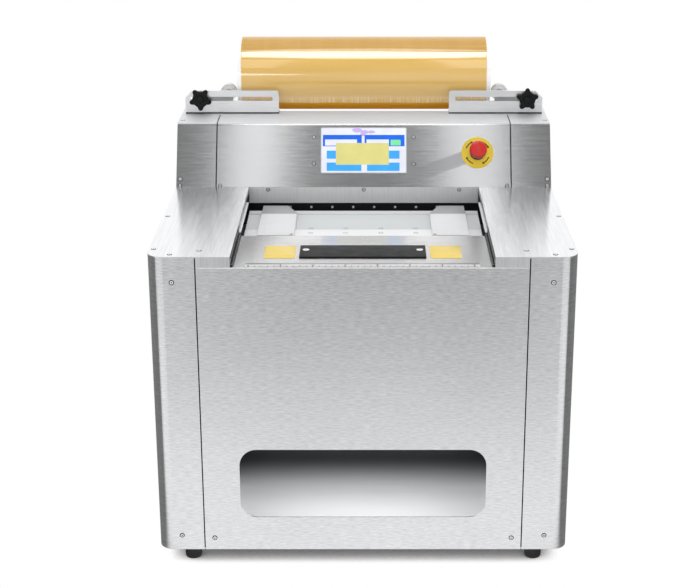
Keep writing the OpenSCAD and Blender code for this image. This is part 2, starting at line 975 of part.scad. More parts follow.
module console_cap(sx) {
  x0 = sx > 0 ? cap_x : -side_x;
  x1 = sx > 0 ? side_x : -cap_x;
  color(steel) difference() {
    translate([0, console_y, deck_z]) difference() {
      along_x(x0, x1) console_outline(cap_d);
      along_x(x0 + sheet_t, x1 - sheet_t) console_hollow(cap_d);
    }
    cap_screw_places() shank_hole(screw_shank_r);
    foot_screw_places() shank_hole(small_shank_r);
    bracket_screw_places() shank_hole(screw_shank_r);
  }
}

module left_console_cap() { console_cap(-1); }

module right_console_cap() { console_cap(1); }

module console_skirt() {
  color(steel) difference() {
    block(-bay_x + gap, bay_x - gap, console_y, console_y + sheet_t, deck_z - apron_h, deck_z);
    apron_screw_places() shank_hole(small_shank_r);
  }
}

module screen_glass() {
  color("lightskyblue") on_face(0, screen_up)
    block(-screen_w / 2, screen_w / 2, -glass_t, 0, -screen_h / 2, screen_h / 2);
}

module screen_housing() {
  color(dark_steel) on_face(0, screen_up)
    block(-screen_w / 2 + housing_edge, screen_w / 2 - housing_edge, 0, housing_d,
      -screen_h / 2 + housing_edge, screen_h / 2 - housing_edge);
}

module estop_ring() {
  color("yellow") on_face(estop_x, estop_up) difference() {
    rod_y_axis(0, -estop_ring_t, 0, 0, estop_ring_r);
    rod_y_axis(0, -estop_ring_t - over, over, 0, estop_hole_r);
  }
}

module estop_block() {
  color(dark_steel) on_face(estop_x, estop_up) difference() {
    union() {
      rod_y_axis(0, -estop_ring_t - estop_collar_t, -estop_ring_t, 0, estop_collar_r);
      rod_y_axis(0, -estop_ring_t - over, sheet_t + over, 0, estop_hole_r - gap);
      block(-estop_block_s / 2, estop_block_s / 2, sheet_t, sheet_t + estop_block_l,
        -estop_block_s / 2, estop_block_s / 2);
    }
    rod_y_axis(0, -estop_ring_t - estop_collar_t - over, sheet_t + estop_block_l / 2, 0,
      estop_stem_r + run_gap);
  }
}

module estop_stem() {
  color("dimgray") on_face(estop_x, estop_up) rod_y_axis(0, estop_cap_t - estop_stand, 0, 0, estop_stem_r);
}

module estop_head() {
  low = estop_ring_t + estop_collar_t + estop_travel + gap;
  bore_r = estop_stem_r + run_gap;
  bore_top = estop_stand - estop_cap_t + gap;
  color("red") on_face(estop_x, estop_up) rotate([90, 0, 0]) rotate_extrude() difference() {
    union() {
      translate([0, low]) square([estop_neck_r, estop_stand - estop_round - low]);
      translate([0, estop_stand - estop_head_t]) square([estop_head_r, estop_head_t - estop_round]);
      translate([0, estop_stand - estop_head_t]) square([estop_head_r - estop_round, estop_head_t]);
      translate([estop_head_r - estop_round, estop_stand - estop_round]) circle(estop_round, $fn = 32);
    }
    translate([0, low - over]) square([bore_r, bore_top - low + over]);
  }
}

// Roll stops

// Places of the screws in the feet of the stop brackets
module bracket_screw_places() {
  for (sx = [-1, 1]) {
    for (k = [-1, 1]) {
      translate([sx * (bracket_in + bracket_out + k * bracket_screw_span) / 2,
        (bracket_front + bracket_t + console_rear) / 2, bracket_foot_z + bracket_t]) children();
    }
  }
}

module stop_brackets() {
  plate_w2 = bracket_out - bracket_in;
  color(steel) both_sides() difference() {
    union() {
      translate([0, bracket_front + bracket_t, 0]) rotate([90, 0,
        0]) linear_extrude(bracket_t) difference() {
        translate([bracket_in, bracket_foot_z]) union() {
          square([plate_w2, bracket_h - bracket_cut]);
          translate([bracket_round, 0]) square([plate_w2 - bracket_round - bracket_cut, bracket_h]);
          square([bracket_cut, bracket_h - bracket_round]);
          translate([bracket_round, bracket_h - bracket_round]) circle(bracket_round, $fn = 48);
          translate([plate_w2 - bracket_cut, bracket_h - bracket_cut])
            polygon([[0, 0], [bracket_cut, 0], [0, bracket_cut]]);
        }
        translate([(slot_in + slot_out) / 2, slot_z])
          square([slot_out - slot_in, slot_h], center = true);
      }
      block(bracket_in, bracket_out, bracket_front + bracket_t / 2, console_rear,
        bracket_foot_z, bracket_foot_z + bracket_t);
    }
    bracket_screw_places() shank_hole(screw_shank_r);
  }
}

module bracket_gaskets() {
  color(black) both_sides() difference() {
    block(bracket_in, bracket_out, bracket_front, console_rear, console_top_z, bracket_foot_z);
    bracket_screw_places() shank_hole(screw_shank_r);
  }
}

module stop_arm(sx) {
  color("lightgray") scale_side(sx) union() {
    block(arm_in, arm_out, arm_front, arm_front + arm_t, slot_z - arm_h / 2, slot_z + arm_h / 2);
    rod_y_axis(knob_x, knob_front + knob_t / 2, arm_front + arm_t / 2, slot_z, stud_r);
    rod_y_axis(idler_x, bracket_front + gap, arm_front + arm_t / 2, slot_z, nut_r);
    rod_y_axis(idler_x, arm_front + arm_t / 2, idler_front + idler_w + gap + axle_head_t, slot_z, axle_r);
    rod_y_axis(idler_x, idler_front + idler_w + gap, idler_front + idler_w + gap + axle_head_t,
      slot_z, axle_head_r);
    rod_y_axis(idler_x, arm_front + arm_t / 2, idler_front - gap, slot_z, idler_hub_r - idler_hub_t);
  }
}

// The right-hand piece, or its mirror image on the left
module scale_side(sx) {
  if (sx > 0) {
    children();
  } else {
    mirror([1, 0, 0]) children();
  }
}

module left_stop_arm() { stop_arm(-1); }

module right_stop_arm() { stop_arm(1); }

// Star knob whose axis is Y, with one lobe at an angle
module star_knob(sx, turn) {
  color(black) translate([sx * knob_x, knob_front + knob_t, slot_z]) rotate([90, 0, 0]) difference() {
    union() {
      linear_extrude(knob_t - knob_hub_t) {
        circle(knob_web_r);
        for (k = [0 : knob_lobes - 1]) {
          rotate(turn + k * 360 / knob_lobes) {
            translate([knob_r - knob_lobe_r, 0]) circle(knob_lobe_r, $fn = 32);
            translate([0, -knob_lobe_r]) square([knob_r - knob_lobe_r, 2 * knob_lobe_r]);
          }
        }
      }
      cylinder(h = knob_t, r = knob_hub_r);
    }
    translate([0, 0, -over]) cylinder(h = knob_t / 2 + over + gap, r = stud_r + run_gap);
  }
}

module left_knob() { star_knob(-1, -90); }

module right_knob() { star_knob(1, 90); }

module idler(sx) {
  color("white") difference() {
    rod_y_axis(sx * idler_x, idler_front, idler_front + idler_w, slot_z, idler_r);
    rod_y_axis(sx * idler_x, idler_front - over, idler_front + idler_w + over, slot_z, axle_r + run_gap);
  }
}

module left_idler() { idler(-1); }

module right_idler() { idler(1); }

// Film roll and its rollers

module film_core() {
  color("white") rotate_tube(roll_l / 2 + core_over, core_r, core_r - core_wall);
}

// Tube along X around the roll's axis
module rotate_tube(half, r_out, r_in) {
  difference() {
    rod_x_axis(-half, half, roll_cy, roll_z, r_out);
    rod_x_axis(-half - over, half + over, roll_cy, roll_z, r_in);
  }
}

// Sector of the YZ plane around the roll's axis where the outer lap lies
module lap_sector(reach) {
  translate([roll_cy, roll_z]) polygon([
    [0, 0],
    [reach * cos(lap_start), reach * sin(lap_start)],
    [-reach, reach * sin(lap_start)],
    [-reach, reach * sin(lap_end)],
    [reach * cos(lap_end), reach * sin(lap_end)]
  ]);
}

module film_roll() {
  color("burlywood", 0.9) difference() {
    rotate_tube(roll_l / 2, roll_r, core_r);
    along_x(-roll_l / 2 - over, roll_l / 2 + over) difference() {
      lap_sector(2 * roll_r);
      translate([roll_cy, roll_z]) circle(roll_r - lap_t);
    }
  }
}

module film_lap() {
  half = roll_l / 2 + lap_over;
  color("ivory", 0.6) along_x(-half, half) intersection() {
    difference() {
      translate([roll_cy, roll_z]) circle(roll_r);
      translate([roll_cy, roll_z]) circle(roll_r - lap_t);
    }
    lap_sector(2 * roll_r);
  }
}

module support_roller(sy) {
  y = roll_cy + sy * wheel_dy;
  end = stand_x + stand_t + gap;
  color("lightgray") {
    rod_x_axis(-end - collar_t / 2, end + collar_t / 2, y, support_z, shaft_r);
    both_sides() {
      rod_x_axis(wheel_x - wheel_w / 2, wheel_x + wheel_w / 2, y, support_z, wheel_r);
      rod_x_axis(end, end + collar_t, y, support_z, collar_r);
    }
  }
}

module front_support_roller() { support_roller(-1); }

module rear_support_roller() { support_roller(1); }

module roll_stands() {
  color(steel) both_sides() difference() {
    union() {
      block(stand_x, stand_x + stand_t, roll_cy - wheel_dy - stand_edge, roll_cy + wheel_dy + stand_edge,
        deck_z, support_z + stand_edge);
      block(stand_x, stand_x + stand_t + stand_foot, roll_cy - wheel_dy - stand_edge,
        roll_cy + wheel_dy + stand_edge, deck_z, deck_z + stand_t);
    }
    for (sy = [-1, 1]) {
      rod_x_axis(stand_x - over, stand_x + stand_t + over, roll_cy + sy * wheel_dy, support_z,
        shaft_r + run_gap);
    }
  }
}

module feed_roller() {
  color("dimgray") {
    rod_x_axis(-feed_l / 2, feed_l / 2, feed_y, feed_z, feed_r);
    rod_x_axis(-feed_wall_x - feed_wall_t - gap - collar_t,
      feed_wall_x + feed_wall_t + feed_shaft_in, feed_y, feed_z,
      feed_shaft_r);
    rod_x_axis(-feed_wall_x - feed_wall_t - gap - collar_t, -feed_wall_x - feed_wall_t - gap,
      feed_y, feed_z, collar_r);
  }
}

module pinch_roller() {
  end = feed_wall_x + feed_wall_t + gap;
  color("dimgray") {
    rod_x_axis(-feed_l / 2, feed_l / 2, feed_y, pinch_z, pinch_r);
    rod_x_axis(-end - collar_t / 2, end + collar_t / 2, feed_y, pinch_z, feed_shaft_r);
    both_sides() rod_x_axis(end, end + collar_t, feed_y, pinch_z, collar_r);
  }
}

module feed_bearings() {
  color(steel) both_sides() difference() {
    block(feed_wall_x, feed_wall_x + feed_wall_t, feed_y - feed_wall_d / 2, feed_y + feed_wall_d / 2,
      deck_z, console_top_z - sheet_t);
    rod_x_axis(feed_wall_x - over, feed_wall_x + feed_wall_t + over, feed_y, feed_z,
      feed_shaft_r + run_gap);
    rod_x_axis(feed_wall_x - over, feed_wall_x + feed_wall_t + over, feed_y, pinch_z,
      feed_shaft_r + run_gap);
  }
}

module drive_units() {
  x0 = feed_wall_x + feed_wall_t;
  motor_top = beam_top_z - beam_t;
  color(dark_steel) {
    difference() {
      rod_x_axis(x0, x0 + feed_motor_l, feed_y, feed_z, feed_motor_r);
      rod_x_axis(x0 - over, x0 + feed_shaft_in + over, feed_y, feed_z, feed_shaft_r + run_gap);
    }
    difference() {
      block(-motor_s / 2, motor_s / 2, rod_y - motor_s / 2, rod_y + motor_s / 2,
        motor_top - motor_l, motor_top);
      translate([0, rod_y, motor_top - spindle_low - over])
        cylinder(h = spindle_low + 2 * over, r = spindle_r + run_gap);
    }
    both_sides() block(box_x, box_x + box_w, box_y, box_y + box_d, base_top_z, base_top_z + box_h);
  }
}

// Film bar and cutter

module film_bar() {
  cutter_mid = cutter_y + cutter_t / 2;
  coil_top = deck_z - cutter_drop - cutter_h - coil_gap;
  color(black) {
    difference() {
      block(-wall_x, wall_x, film_bar_y, film_bar_y + film_bar_t,
        deck_z - film_bar_drop - film_bar_h, deck_z - film_bar_drop);
      film_bolt_places() shank_hole(small_shank_r);
    }
    block(-wall_x, wall_x, film_tray_front, film_bar_y,
      deck_z - film_tray_drop - film_tray_t, deck_z - film_tray_drop);
    block(-wall_x, wall_x, cutter_mid - coil_d / 2, cutter_mid + coil_d / 2,
      coil_top - coil_h - coil_bar_h, coil_top - coil_h);
    difference() {
      block(-coil_w / 2, coil_w / 2, cutter_mid - coil_d / 2, cutter_mid + coil_d / 2,
        coil_top - coil_h, coil_top);
      translate([0, cutter_mid, coil_top - coil_h / 2]) cylinder(h = coil_h, r = cutter_rod_r + run_gap);
    }
  }
}

module cutter_blade() {
  low = deck_z - cutter_drop - cutter_h;
  color("silver") {
    block(-cutter_w / 2, cutter_w / 2, cutter_y, cutter_y + cutter_t, low, low + cutter_h);
    translate([0, cutter_y + cutter_t / 2,
      low - cutter_rod_l]) cylinder(h = cutter_rod_l + cutter_t, r = cutter_rod_r);
  }
}

// Lift

module lift_frame() {
  color(steel) difference() {
    union() {
      block(-wall_x, wall_x, rod_y - beam_d / 2, rod_y + beam_d / 2, beam_top_z - beam_t, beam_top_z);
      both_sides() translate([rod_x, rod_y, beam_top_z - beam_t / 2])
        cylinder(h = rod_top_z - beam_top_z + beam_t / 2, r = rod_r);
    }
    translate([0, rod_y, beam_top_z - beam_t - over]) cylinder(h = beam_t + 2 * over,
      r = spindle_r + run_gap);
  }
}

module lift_spindle() {
  low = beam_top_z - beam_t - spindle_low;
  color("lightgray") translate([0, rod_y, low]) cylinder(h = rod_top_z - low, r = spindle_r);
}

module lift_carrier() {
  tube = carrier_z - sleeve_low_z;
  color(steel) difference() {
    union() {
      block(-bed_w / 2 + carrier_edge, bed_w / 2 - carrier_edge, bed_front + carrier_edge,
        bed_rear - carrier_edge,
        carrier_z, bed_low_z);
      both_sides() translate([rod_x, rod_y, sleeve_low_z]) cylinder(h = tube + carrier_t / 2, r = sleeve_r);
      translate([0, rod_y, sleeve_low_z]) cylinder(h = tube + carrier_t / 2, r = nut_outer_r);
    }
    both_sides() translate([rod_x, rod_y, sleeve_low_z - over]) cylinder(h = tube + over,
      r = rod_r + run_gap);
    translate([0, rod_y, sleeve_low_z - over]) cylinder(h = tube + over, r = spindle_r + run_gap);
    translate([0, rod_y, sleeve_low_z + nut_l]) cylinder(h = tube - nut_l, r = nut_tube_r);
  }
}

module lift_boards() {
  color(white_board) difference() {
    union() {
      block(-bed_w / 2, bed_w / 2, bed_front, bed_front + board_d, bed_low_z, bed_z);
      block(-bed_w / 2, bed_w / 2, bed_front + board_d + board_seam, bed_rear, bed_low_z, bed_z);
      block(-bed_w / 2, bed_w / 2, bed_rear - lip_d, bed_rear, bed_z, bed_z + lip_h);
    }
    lift_screw_places() translate([0, 0, -flush_h]) cylinder(h = flush_h + over, r = flush_r);
  }
}

// Places of the flush screws in the lift bed
module lift_screw_places() {
  for (sx = [-1, 1]) {
    for (x = [lift_screw_in, lift_screw_out]) {
      for (y = [board_d - lift_screw_ahead, board_d + lift_screw_behind]) {
        translate([sx * x, bed_front + y, bed_z]) children();
      }
    }
  }
}

module lift_screws() {
  color("lightgray") lift_screw_places() translate([0, 0, -flush_h]) cylinder(h = flush_h, r = flush_r);
}

module guide(sx) {
  rear = guide_front + guide_d;
  color(white_board) scale_side(sx) difference() {
    block(guide_in, guide_in + guide_w, guide_front, rear, bed_z + guide_clear, bed_z + guide_h);
    block(guide_in - over, guide_in + guide_w + over, bed_rear - lip_d - gap, rear + over,
      bed_z - over, bed_z + lip_h + guide_clear);
    translate([0, 0, bed_z - over]) linear_extrude(guide_h + 2 * over) polygon([
      [guide_in - over, rear - guide_cut_y - over * guide_cut_y / guide_cut_x],
      [guide_in + guide_cut_x + over * guide_cut_x / guide_cut_y, rear + over],
      [guide_in - over, rear + over]
    ]);
  }
}

module left_guide() { guide(-1); }

module right_guide() { guide(1); }

// Fold plates

module fold_rails() {
  color(steel) both_sides() for (y = [fold_front, fold_rear - fold_rail_d]) {
    block(wall_x, side_x - sheet_t, y, y + fold_rail_d, deck_z - pass_drop, fold_z - gap);
  }
}

module fold_plate(sx) {
  color("lightgray") scale_side(sx) block(fold_in, fold_in + fold_w, fold_front, fold_rear, fold_z,
    fold_z + fold_t);
}

module left_fold_plate() { fold_plate(-1); }

module right_fold_plate() { fold_plate(1); }

// Rear services

module mains_inlet() {
  front = rear_y - inlet_l;
  color(black) {
    difference() {
      union() {
        block(inlet_x - inlet_w / 2, inlet_x + inlet_w / 2, front, rear_y, inlet_z - inlet_h / 2,
          inlet_z + inlet_h / 2);
        block(inlet_x - inlet_w / 2 - inlet_flange, inlet_x + inlet_w / 2 + inlet_flange, rear_y,
          rear_y + screw_head_h,
          inlet_z - inlet_h / 2 - inlet_wall, inlet_z + inlet_h / 2 + inlet_wall);
      }
      block(inlet_x - inlet_w / 2 + inlet_wall, inlet_x + inlet_w / 2 - inlet_wall, front + inlet_wall,
        rear_y + screw_head_h + over, inlet_z - inlet_h / 2 + inlet_wall,
          inlet_z + inlet_h / 2 - inlet_wall);
    }
    for (k = [-1, 0, 1]) {
      rod_y_axis(inlet_x + k * pin_pitch, front + inlet_wall / 2, rear_y - pin_back,
        inlet_z + (k == 0 ? pin_rise : -pin_rise), pin_r);
    }
    difference() {
      block(rocker_x - rocker_w / 2 - rocker_frame / 2, rocker_x + rocker_w / 2 + rocker_frame / 2,
        rear_y - rocker_depth,
        rear_y, inlet_z - rocker_h / 2 - rocker_frame / 2, inlet_z + rocker_h / 2 + rocker_frame / 2);
      block(rocker_x - rocker_w / 2, rocker_x + rocker_w / 2,
        rear_y - rocker_depth + rocker_frame / 2, rear_y + over,
        inlet_z - rocker_h / 2, inlet_z + rocker_h / 2);
    }
  }
}

module power_rocker() {
  y = rear_y - rocker_back;
  half = rocker_w / 2 - gap;
  color("dimgray") {
    rod_x_axis(rocker_x - half, rocker_x + half, y, inlet_z, rocker_r);
    block(rocker_x - half, rocker_x + half, y, y + rocker_rise, inlet_z - rocker_h / 2 + rocker_swing,
      inlet_z + rocker_h / 2 - rocker_swing);
  }
}

base_plate();
inner_walls();
left_side_cover();
right_side_cover();
front_panel();
rear_panel();
front_pocket();
left_deck();
right_deck();
top_plate();
front_table();
table_rails();
heater_strip();
heater_block();
table_labels();
ruler_plate();
console_cover();
left_console_cap();
right_console_cap();
console_skirt();
screen_glass();
screen_housing();
estop_ring();
estop_block();
stop_brackets();
bracket_gaskets();
roll_stands();
feed_bearings();
drive_units();
film_bar();
lift_frame();
fold_rails();
mains_inlet();
feet();
screws();
estop_stem();
estop_head();
left_stop_arm();
right_stop_arm();
left_knob();
right_knob();
left_idler();
right_idler();
film_core();
film_roll();
film_lap();
front_support_roller();
rear_support_roller();
feed_roller();
pinch_roller();
cutter_blade();
lift_spindle();
lift_boards();
lift_carrier();
lift_screws();
left_guide();
right_guide();
left_fold_plate();
right_fold_plate();
power_rocker();
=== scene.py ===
import math
import random

import bmesh
import bpy
from mathutils import Matrix, Vector


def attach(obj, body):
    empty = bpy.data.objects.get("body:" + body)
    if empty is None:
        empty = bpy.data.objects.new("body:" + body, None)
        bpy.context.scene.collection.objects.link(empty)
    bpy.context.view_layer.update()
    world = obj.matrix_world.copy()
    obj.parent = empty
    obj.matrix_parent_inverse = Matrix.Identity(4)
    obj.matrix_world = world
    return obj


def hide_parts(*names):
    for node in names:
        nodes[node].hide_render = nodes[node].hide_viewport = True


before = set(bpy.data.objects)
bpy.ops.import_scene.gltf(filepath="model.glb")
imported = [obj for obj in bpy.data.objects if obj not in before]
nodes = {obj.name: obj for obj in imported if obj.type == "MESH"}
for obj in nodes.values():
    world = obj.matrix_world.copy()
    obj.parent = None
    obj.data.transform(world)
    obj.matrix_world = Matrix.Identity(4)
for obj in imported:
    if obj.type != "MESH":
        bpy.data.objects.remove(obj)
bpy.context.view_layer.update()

# Driving sizes in millimetres: x across, f behind the front face, z above the deck
MM = 0.001
DECK = 532.0
FRONT = -350.0
DEPTH = 700.0
CONSOLE_FOOT = 410.0
CONSOLE_RUN = 57.5
CONSOLE_RISE = 103.0
FACE = math.atan(CONSOLE_RUN / CONSOLE_RISE)
BUTTON_X = 203.0
BUTTON_UP = 62.8
UP = Vector((0, 0, 1))
AHEAD = Vector((0, -1, 0))
BACK = Vector((0, 1, 0))
OUT_FACE = Vector((0, -math.cos(FACE), math.sin(FACE)))
SIDES = ((-1, "left"), (1, "right"))


def at(x, f, z):
    return Vector((x, FRONT + f, DECK + z)) * MM


def depth(f):
    return (FRONT + f) * MM


def height(z):
    return (DECK + z) * MM


def face_at(x, up):
    """A point on the console's slanted face, so far up from its foot."""
    return at(x, CONSOLE_FOOT + up * math.sin(FACE), up * math.cos(FACE))


def placed(pos, normal, spin=0.0):
    """Takes local +Z to the normal and local +Y as near upright as it can, after a spin about +Z."""
    n = Vector(normal).normalized()
    upright = BACK if abs(n.dot(UP)) > 0.99 else UP
    x = upright.cross(n).normalized()
    turned = Matrix((x, n.cross(x), n)).transposed().to_4x4()
    return Matrix.Translation(pos) @ turned @ Matrix.Rotation(spin, 4, "Z")


ROLL = at(0, 625, 162.9)
ROLL_R = 67.15
ROLL_HALF = 226.0


# Node trees


class Nodes:
    """Short ways to fill a node tree, which starts empty."""

    def __init__(self, tree):
        self.tree = tree
        tree.nodes.clear()

    def add(self, kind, sockets=None, **props):
        """A node with these properties, and with these sockets fed."""
        node = self.tree.nodes.new(kind)
        for key, value in props.items():
            setattr(node, key, value)
        for key, value in (sockets or {}).items():
            self.feed(node.inputs[key], value)
        return node

    def feed(self, socket, value):
        """Links the socket to another one, or sets it to a number, a colour or a vector."""
        if isinstance(value, bpy.types.NodeSocket):
            self.tree.links.new(value, socket)
        elif isinstance(value, tuple):
            socket.default_value = (*value, 1.0)[: len(socket.default_value)]
        else:
            socket.default_value = value

    def math(self, kind, a, b=0.0):
        return self.add("ShaderNodeMath", {0: a, 1: b}, operation=kind).outputs[0]

    def plus(self, a, b):
        return self.math("ADD", a, b)

    def minus(self, a, b):
        return self.math("SUBTRACT", a, b)

    def times(self, a, b):
        return self.math("MULTIPLY", a, b)

    def remap(self, value, lo, hi, a, b, kind="LINEAR"):
        """Takes lo to a and hi to b, and holds those beyond them."""
        sockets = {"Value": value, "From Min": lo, "From Max": hi, "To Min": a, "To Max": b}
        return self.add("ShaderNodeMapRange", sockets, interpolation_type=kind).outputs["Result"]

    def fade(self, value, lo, hi, a, b):
        return self.remap(value, lo, hi, a, b, "SMOOTHSTEP")

    def split(self, vector):
        return tuple(self.add("ShaderNodeSeparateXYZ", {0: vector}).outputs)

    def source(self, kind, strength, color):
        """A glowing surface or background."""
        return self.add(kind, {"Strength": strength, "Color": color}).outputs[0]

    def choose(self, factor, a, b):
        """Shader a where the factor is 0, shader b where it is 1."""
        return self.add("ShaderNodeMixShader", {0: factor, 1: a, 2: b}).outputs[0]


class Shader(Nodes):
    """A material with a principled shader."""

    def __init__(self, name, **sockets):
        self.mat = bpy.data.materials.new(name)
        self.mat.use_nodes = True
        super().__init__(self.mat.node_tree)
        self.out = self.add("ShaderNodeOutputMaterial")
        self.bsdf = self.add("ShaderNodeBsdfPrincipled")
        self.feed(self.out.inputs["Surface"], self.bsdf.outputs[0])
        self.set(**sockets)

    def set(self, **sockets):
        for key, value in sockets.items():
            self.feed(self.bsdf.inputs[key.replace("_", " ")], value)

    def axes(self):
        return self.split(self.add("ShaderNodeTexCoord").outputs["Object"])

    def noise(self, waves, detail=2.0, roughness=0.5):
        """Noise with so many waves to the metre: one number, or one for each axis."""
        if not isinstance(waves, tuple):
            waves = (waves, waves, waves)
        place = self.add("ShaderNodeTexCoord").outputs["Object"]
        scaled = self.add("ShaderNodeMapping", {"Vector": place, "Scale": waves}).outputs["Vector"]
        sockets = {"Vector": scaled, "Scale": 1.0, "Detail": detail, "Roughness": roughness}
        return self.add("ShaderNodeTexNoise", sockets).outputs["Fac"]

    def swing(self, noise, a, b):
        """From a to b over the range that noise mostly has."""
        return self.remap(noise, 0.3, 0.7, a, b)

    def mix(self, factor, a, b):
        node = self.add("ShaderNodeMix", data_type="RGBA")
        sockets = {s.identifier: s for s in node.inputs}
        for key, value in (("Factor_Float", factor), ("A_Color", a), ("B_Color", b)):
            self.feed(sockets[key], value)
        return next(s for s in node.outputs if s.identifier == "Result_Color")

    def varied(self, factor, color, share):
        """The colour, lower and higher by this share of itself."""
        return self.mix(factor, tinted(color, 1 - share), tinted(color, 1 + share))

    def bump(self, level, strength=0.2, distance=0.0005, bevel=None):
        sockets = {"Strength": strength, "Distance": distance, "Height": level}
        if bevel:
            sockets["Normal"] = self.add("ShaderNodeBevel", {"Radius": bevel}, samples=4).outputs[0]
        self.set(Normal=self.add("ShaderNodeBump", sockets).outputs[0])


def tinted(color, factor):
    return tuple(min(1.0, c * factor) for c in color)


# Metals

# Dark of the painted shade at the front table's ends
TABLE_SHADE_DARK = (0.03, 0.03, 0.032)
SHADE_GREY = (0.05, 0.05, 0.052)
# Pale of the painted highlight on turned edges
BEND_HIGHLIGHT_WHITE = (0.97, 0.97, 0.97)


def table_painted_shade(s, tone):
    """Painted shade that darkens the front table towards its two ends, further in at the back of its left
    end.
    """
    x, y, _ = s.axes()
    left = s.fade(s.minus(x, s.times(y, 0.25)), -0.145, -0.06, 0.62, 0.0)
    right = s.fade(x, 0.11, 0.20, 0.0, 0.42)
    return s.mix(s.plus(left, right), tone, TABLE_SHADE_DARK)


def button_shade(s, tone):
    """The soft grey band that the stop button throws over the console, down to its left."""
    x, _, z = s.axes()
    across = s.minus(x, BUTTON_X * MM)
    up = s.minus(s.math("DIVIDE", s.minus(z, height(0)), math.cos(FACE)), BUTTON_UP * MM)
    left, down = 0.94, 0.35
    along = s.plus(s.times(across, -left), s.times(up, -down))
    aside = s.math("ABSOLUTE", s.plus(s.times(across, down), s.times(up, -left)))
    band = s.times(s.fade(aside, 0.009, 0.015, 1, 0), s.remap(along, -0.005, 0.01, 0, 1))
    return s.mix(s.times(band, s.remap(along, 0.02, 0.13, 0.45, 0.0)), tone, SHADE_GREY)


def brushed(name, color, waves, roughness=0.3, grain=0.05, anisotropy=0.55, spread=(0, 0, 1), bevel=0.0007,
            wear=0.02, vary=0.02, metallic=1.0, flat=None, bend_highlight=0.0, shade=None):
    """Brushed sheet metal: fine streaks along the grain, with faint wide streaks and smudges.

    Highlights are drawn out along spread. Flat gives the roughness, painted-light tone and metal share of
    faces that look up, the edge share how pale turned edges are painted as highlight, and shade a function
    painting shade.
    """
    s = Shader(name, Anisotropic=anisotropy)
    fine = s.noise(waves, 3.0, 0.6)
    wide = s.noise(tuple(v * 0.17 for v in waves), 3.0, 0.55)
    smudge = s.noise(5, 3.0)
    streak = s.plus(s.times(fine, 0.87), s.times(wide, 0.13))
    level = s.swing(s.plus(s.times(streak, 0.88), s.times(smudge, 0.12)), 0.0, 1.0)
    tone = s.varied(level, color, grain)
    rough = s.swing(streak, roughness - vary, roughness + vary)
    shine = metallic
    upward = s.split(s.add("ShaderNodeNewGeometry").outputs["Normal"])[2]
    # Faces that look up get painted light, a lighter tone, with their own roughness and metal share
    if flat:
        flat_roughness, flat_painted_light, flat_metallic = flat
        up = s.fade(upward, 0.75, 0.98, 0, 1)
        tone = s.mix(up, tone, s.varied(level, tinted(color, flat_painted_light), grain))
        rough = s.plus(rough, s.times(up, flat_roughness - roughness))
        shine = s.remap(up, 0, 1, metallic, flat_metallic)
    # Painted highlight: turned edges are painted pale and less metallic
    if bend_highlight:
        turned = s.times(s.fade(upward, 0.2, 0.45, 0, 1), s.fade(upward, 0.88, 0.98, 1, 0))
        tone = s.mix(turned, tone, BEND_HIGHLIGHT_WHITE)
        shine = s.remap(turned, 0, 1, metallic, metallic - bend_highlight)
    if shade:
        tone = shade(s, tone)
    tangent = s.add("ShaderNodeCombineXYZ", dict(enumerate(spread))).outputs[0]
    s.set(Base_Color=tone, Roughness=rough, Metallic=shine, Tangent=tangent)
    s.bump(streak, wear, 0.0004, bevel)
    return s.mat


def plain_metal(name, color, roughness, waves=900.0, variation=0.06, bevel=0.0003, metallic=1.0):
    s = Shader(name, Metallic=metallic)
    fine = s.noise(waves, 3.0)
    s.set(Base_Color=s.varied(s.noise(35), color, variation))
    s.set(Roughness=s.swing(fine, roughness - 0.06, roughness + 0.08))
    s.bump(fine, 0.05, 0.0002, bevel)
    return s.mat


STEEL = (0.735, 0.74, 0.75)
PALE_STEEL = tinted(STEEL, 1.25)
UP_FACE = (0, math.sin(FACE), math.cos(FACE))
UP_DECK = (0.03, 1, 0.04)
# The walls' turned edges carry a painted highlight
wall_steel = brushed("wall_steel", STEEL, (80, 80, 500), roughness=0.25, grain=0.17, anisotropy=0.85,
                     bend_highlight=0.85)
# The console's faces that look up are painted lighter as painted light; the stop button's grey band is
# painted shadow
face_steel = brushed("face_steel", tinted(STEEL, 0.98), (25, 450, 450), roughness=0.21, grain=0.085,
                     anisotropy=0.9, spread=UP_FACE, flat=(0.42, 1.2, 0.7), shade=button_shade)
deck_steel = brushed("deck_steel", tinted(STEEL, 1.16), (430, 14, 14), roughness=0.215, grain=0.09,
                     anisotropy=0.92, spread=UP_DECK, wear=0.0, vary=0.01)
top_steel = brushed("top_steel", STEEL, (8, 1300, 8), roughness=0.42, grain=0.07, anisotropy=0.4,
                    spread=(0, 1, 0))
table_steel = brushed("table_steel", tinted(STEEL, 0.99), (30, 420, 420), roughness=0.24, grain=0.09,
                      anisotropy=0.7, spread=(0, 1, 0), wear=0.01, shade=table_painted_shade)
apron_steel = brushed("apron_steel", PALE_STEEL, (450, 450, 14), roughness=0.45, grain=0.08, anisotropy=0.7,
                      metallic=0.35)
bracket_steel = brushed("bracket_steel", PALE_STEEL, (30, 500, 500), roughness=0.30, grain=0.05,
                        anisotropy=0.6, bevel=0.0005, metallic=0.75)
ruler_face = brushed("ruler_face", (0.78, 0.78, 0.79), (8, 1200, 1200), roughness=0.34, grain=0.03,
                     anisotropy=0.2, spread=(0, 1, 0), bevel=0.0002)
inner_steel = plain_metal("inner_steel", (0.6, 0.61, 0.63), 0.36)
shaft_steel = plain_metal("shaft_steel", (0.66, 0.67, 0.69), 0.22)
arm_alloy = plain_metal("arm_alloy", (0.42, 0.42, 0.43), 0.34)
screw_steel = plain_metal("screw_steel", (0.97, 0.97, 0.97), 0.4, waves=1600, variation=0.03, bevel=0.0001,
                          metallic=0.25)


# Plastics and rubber


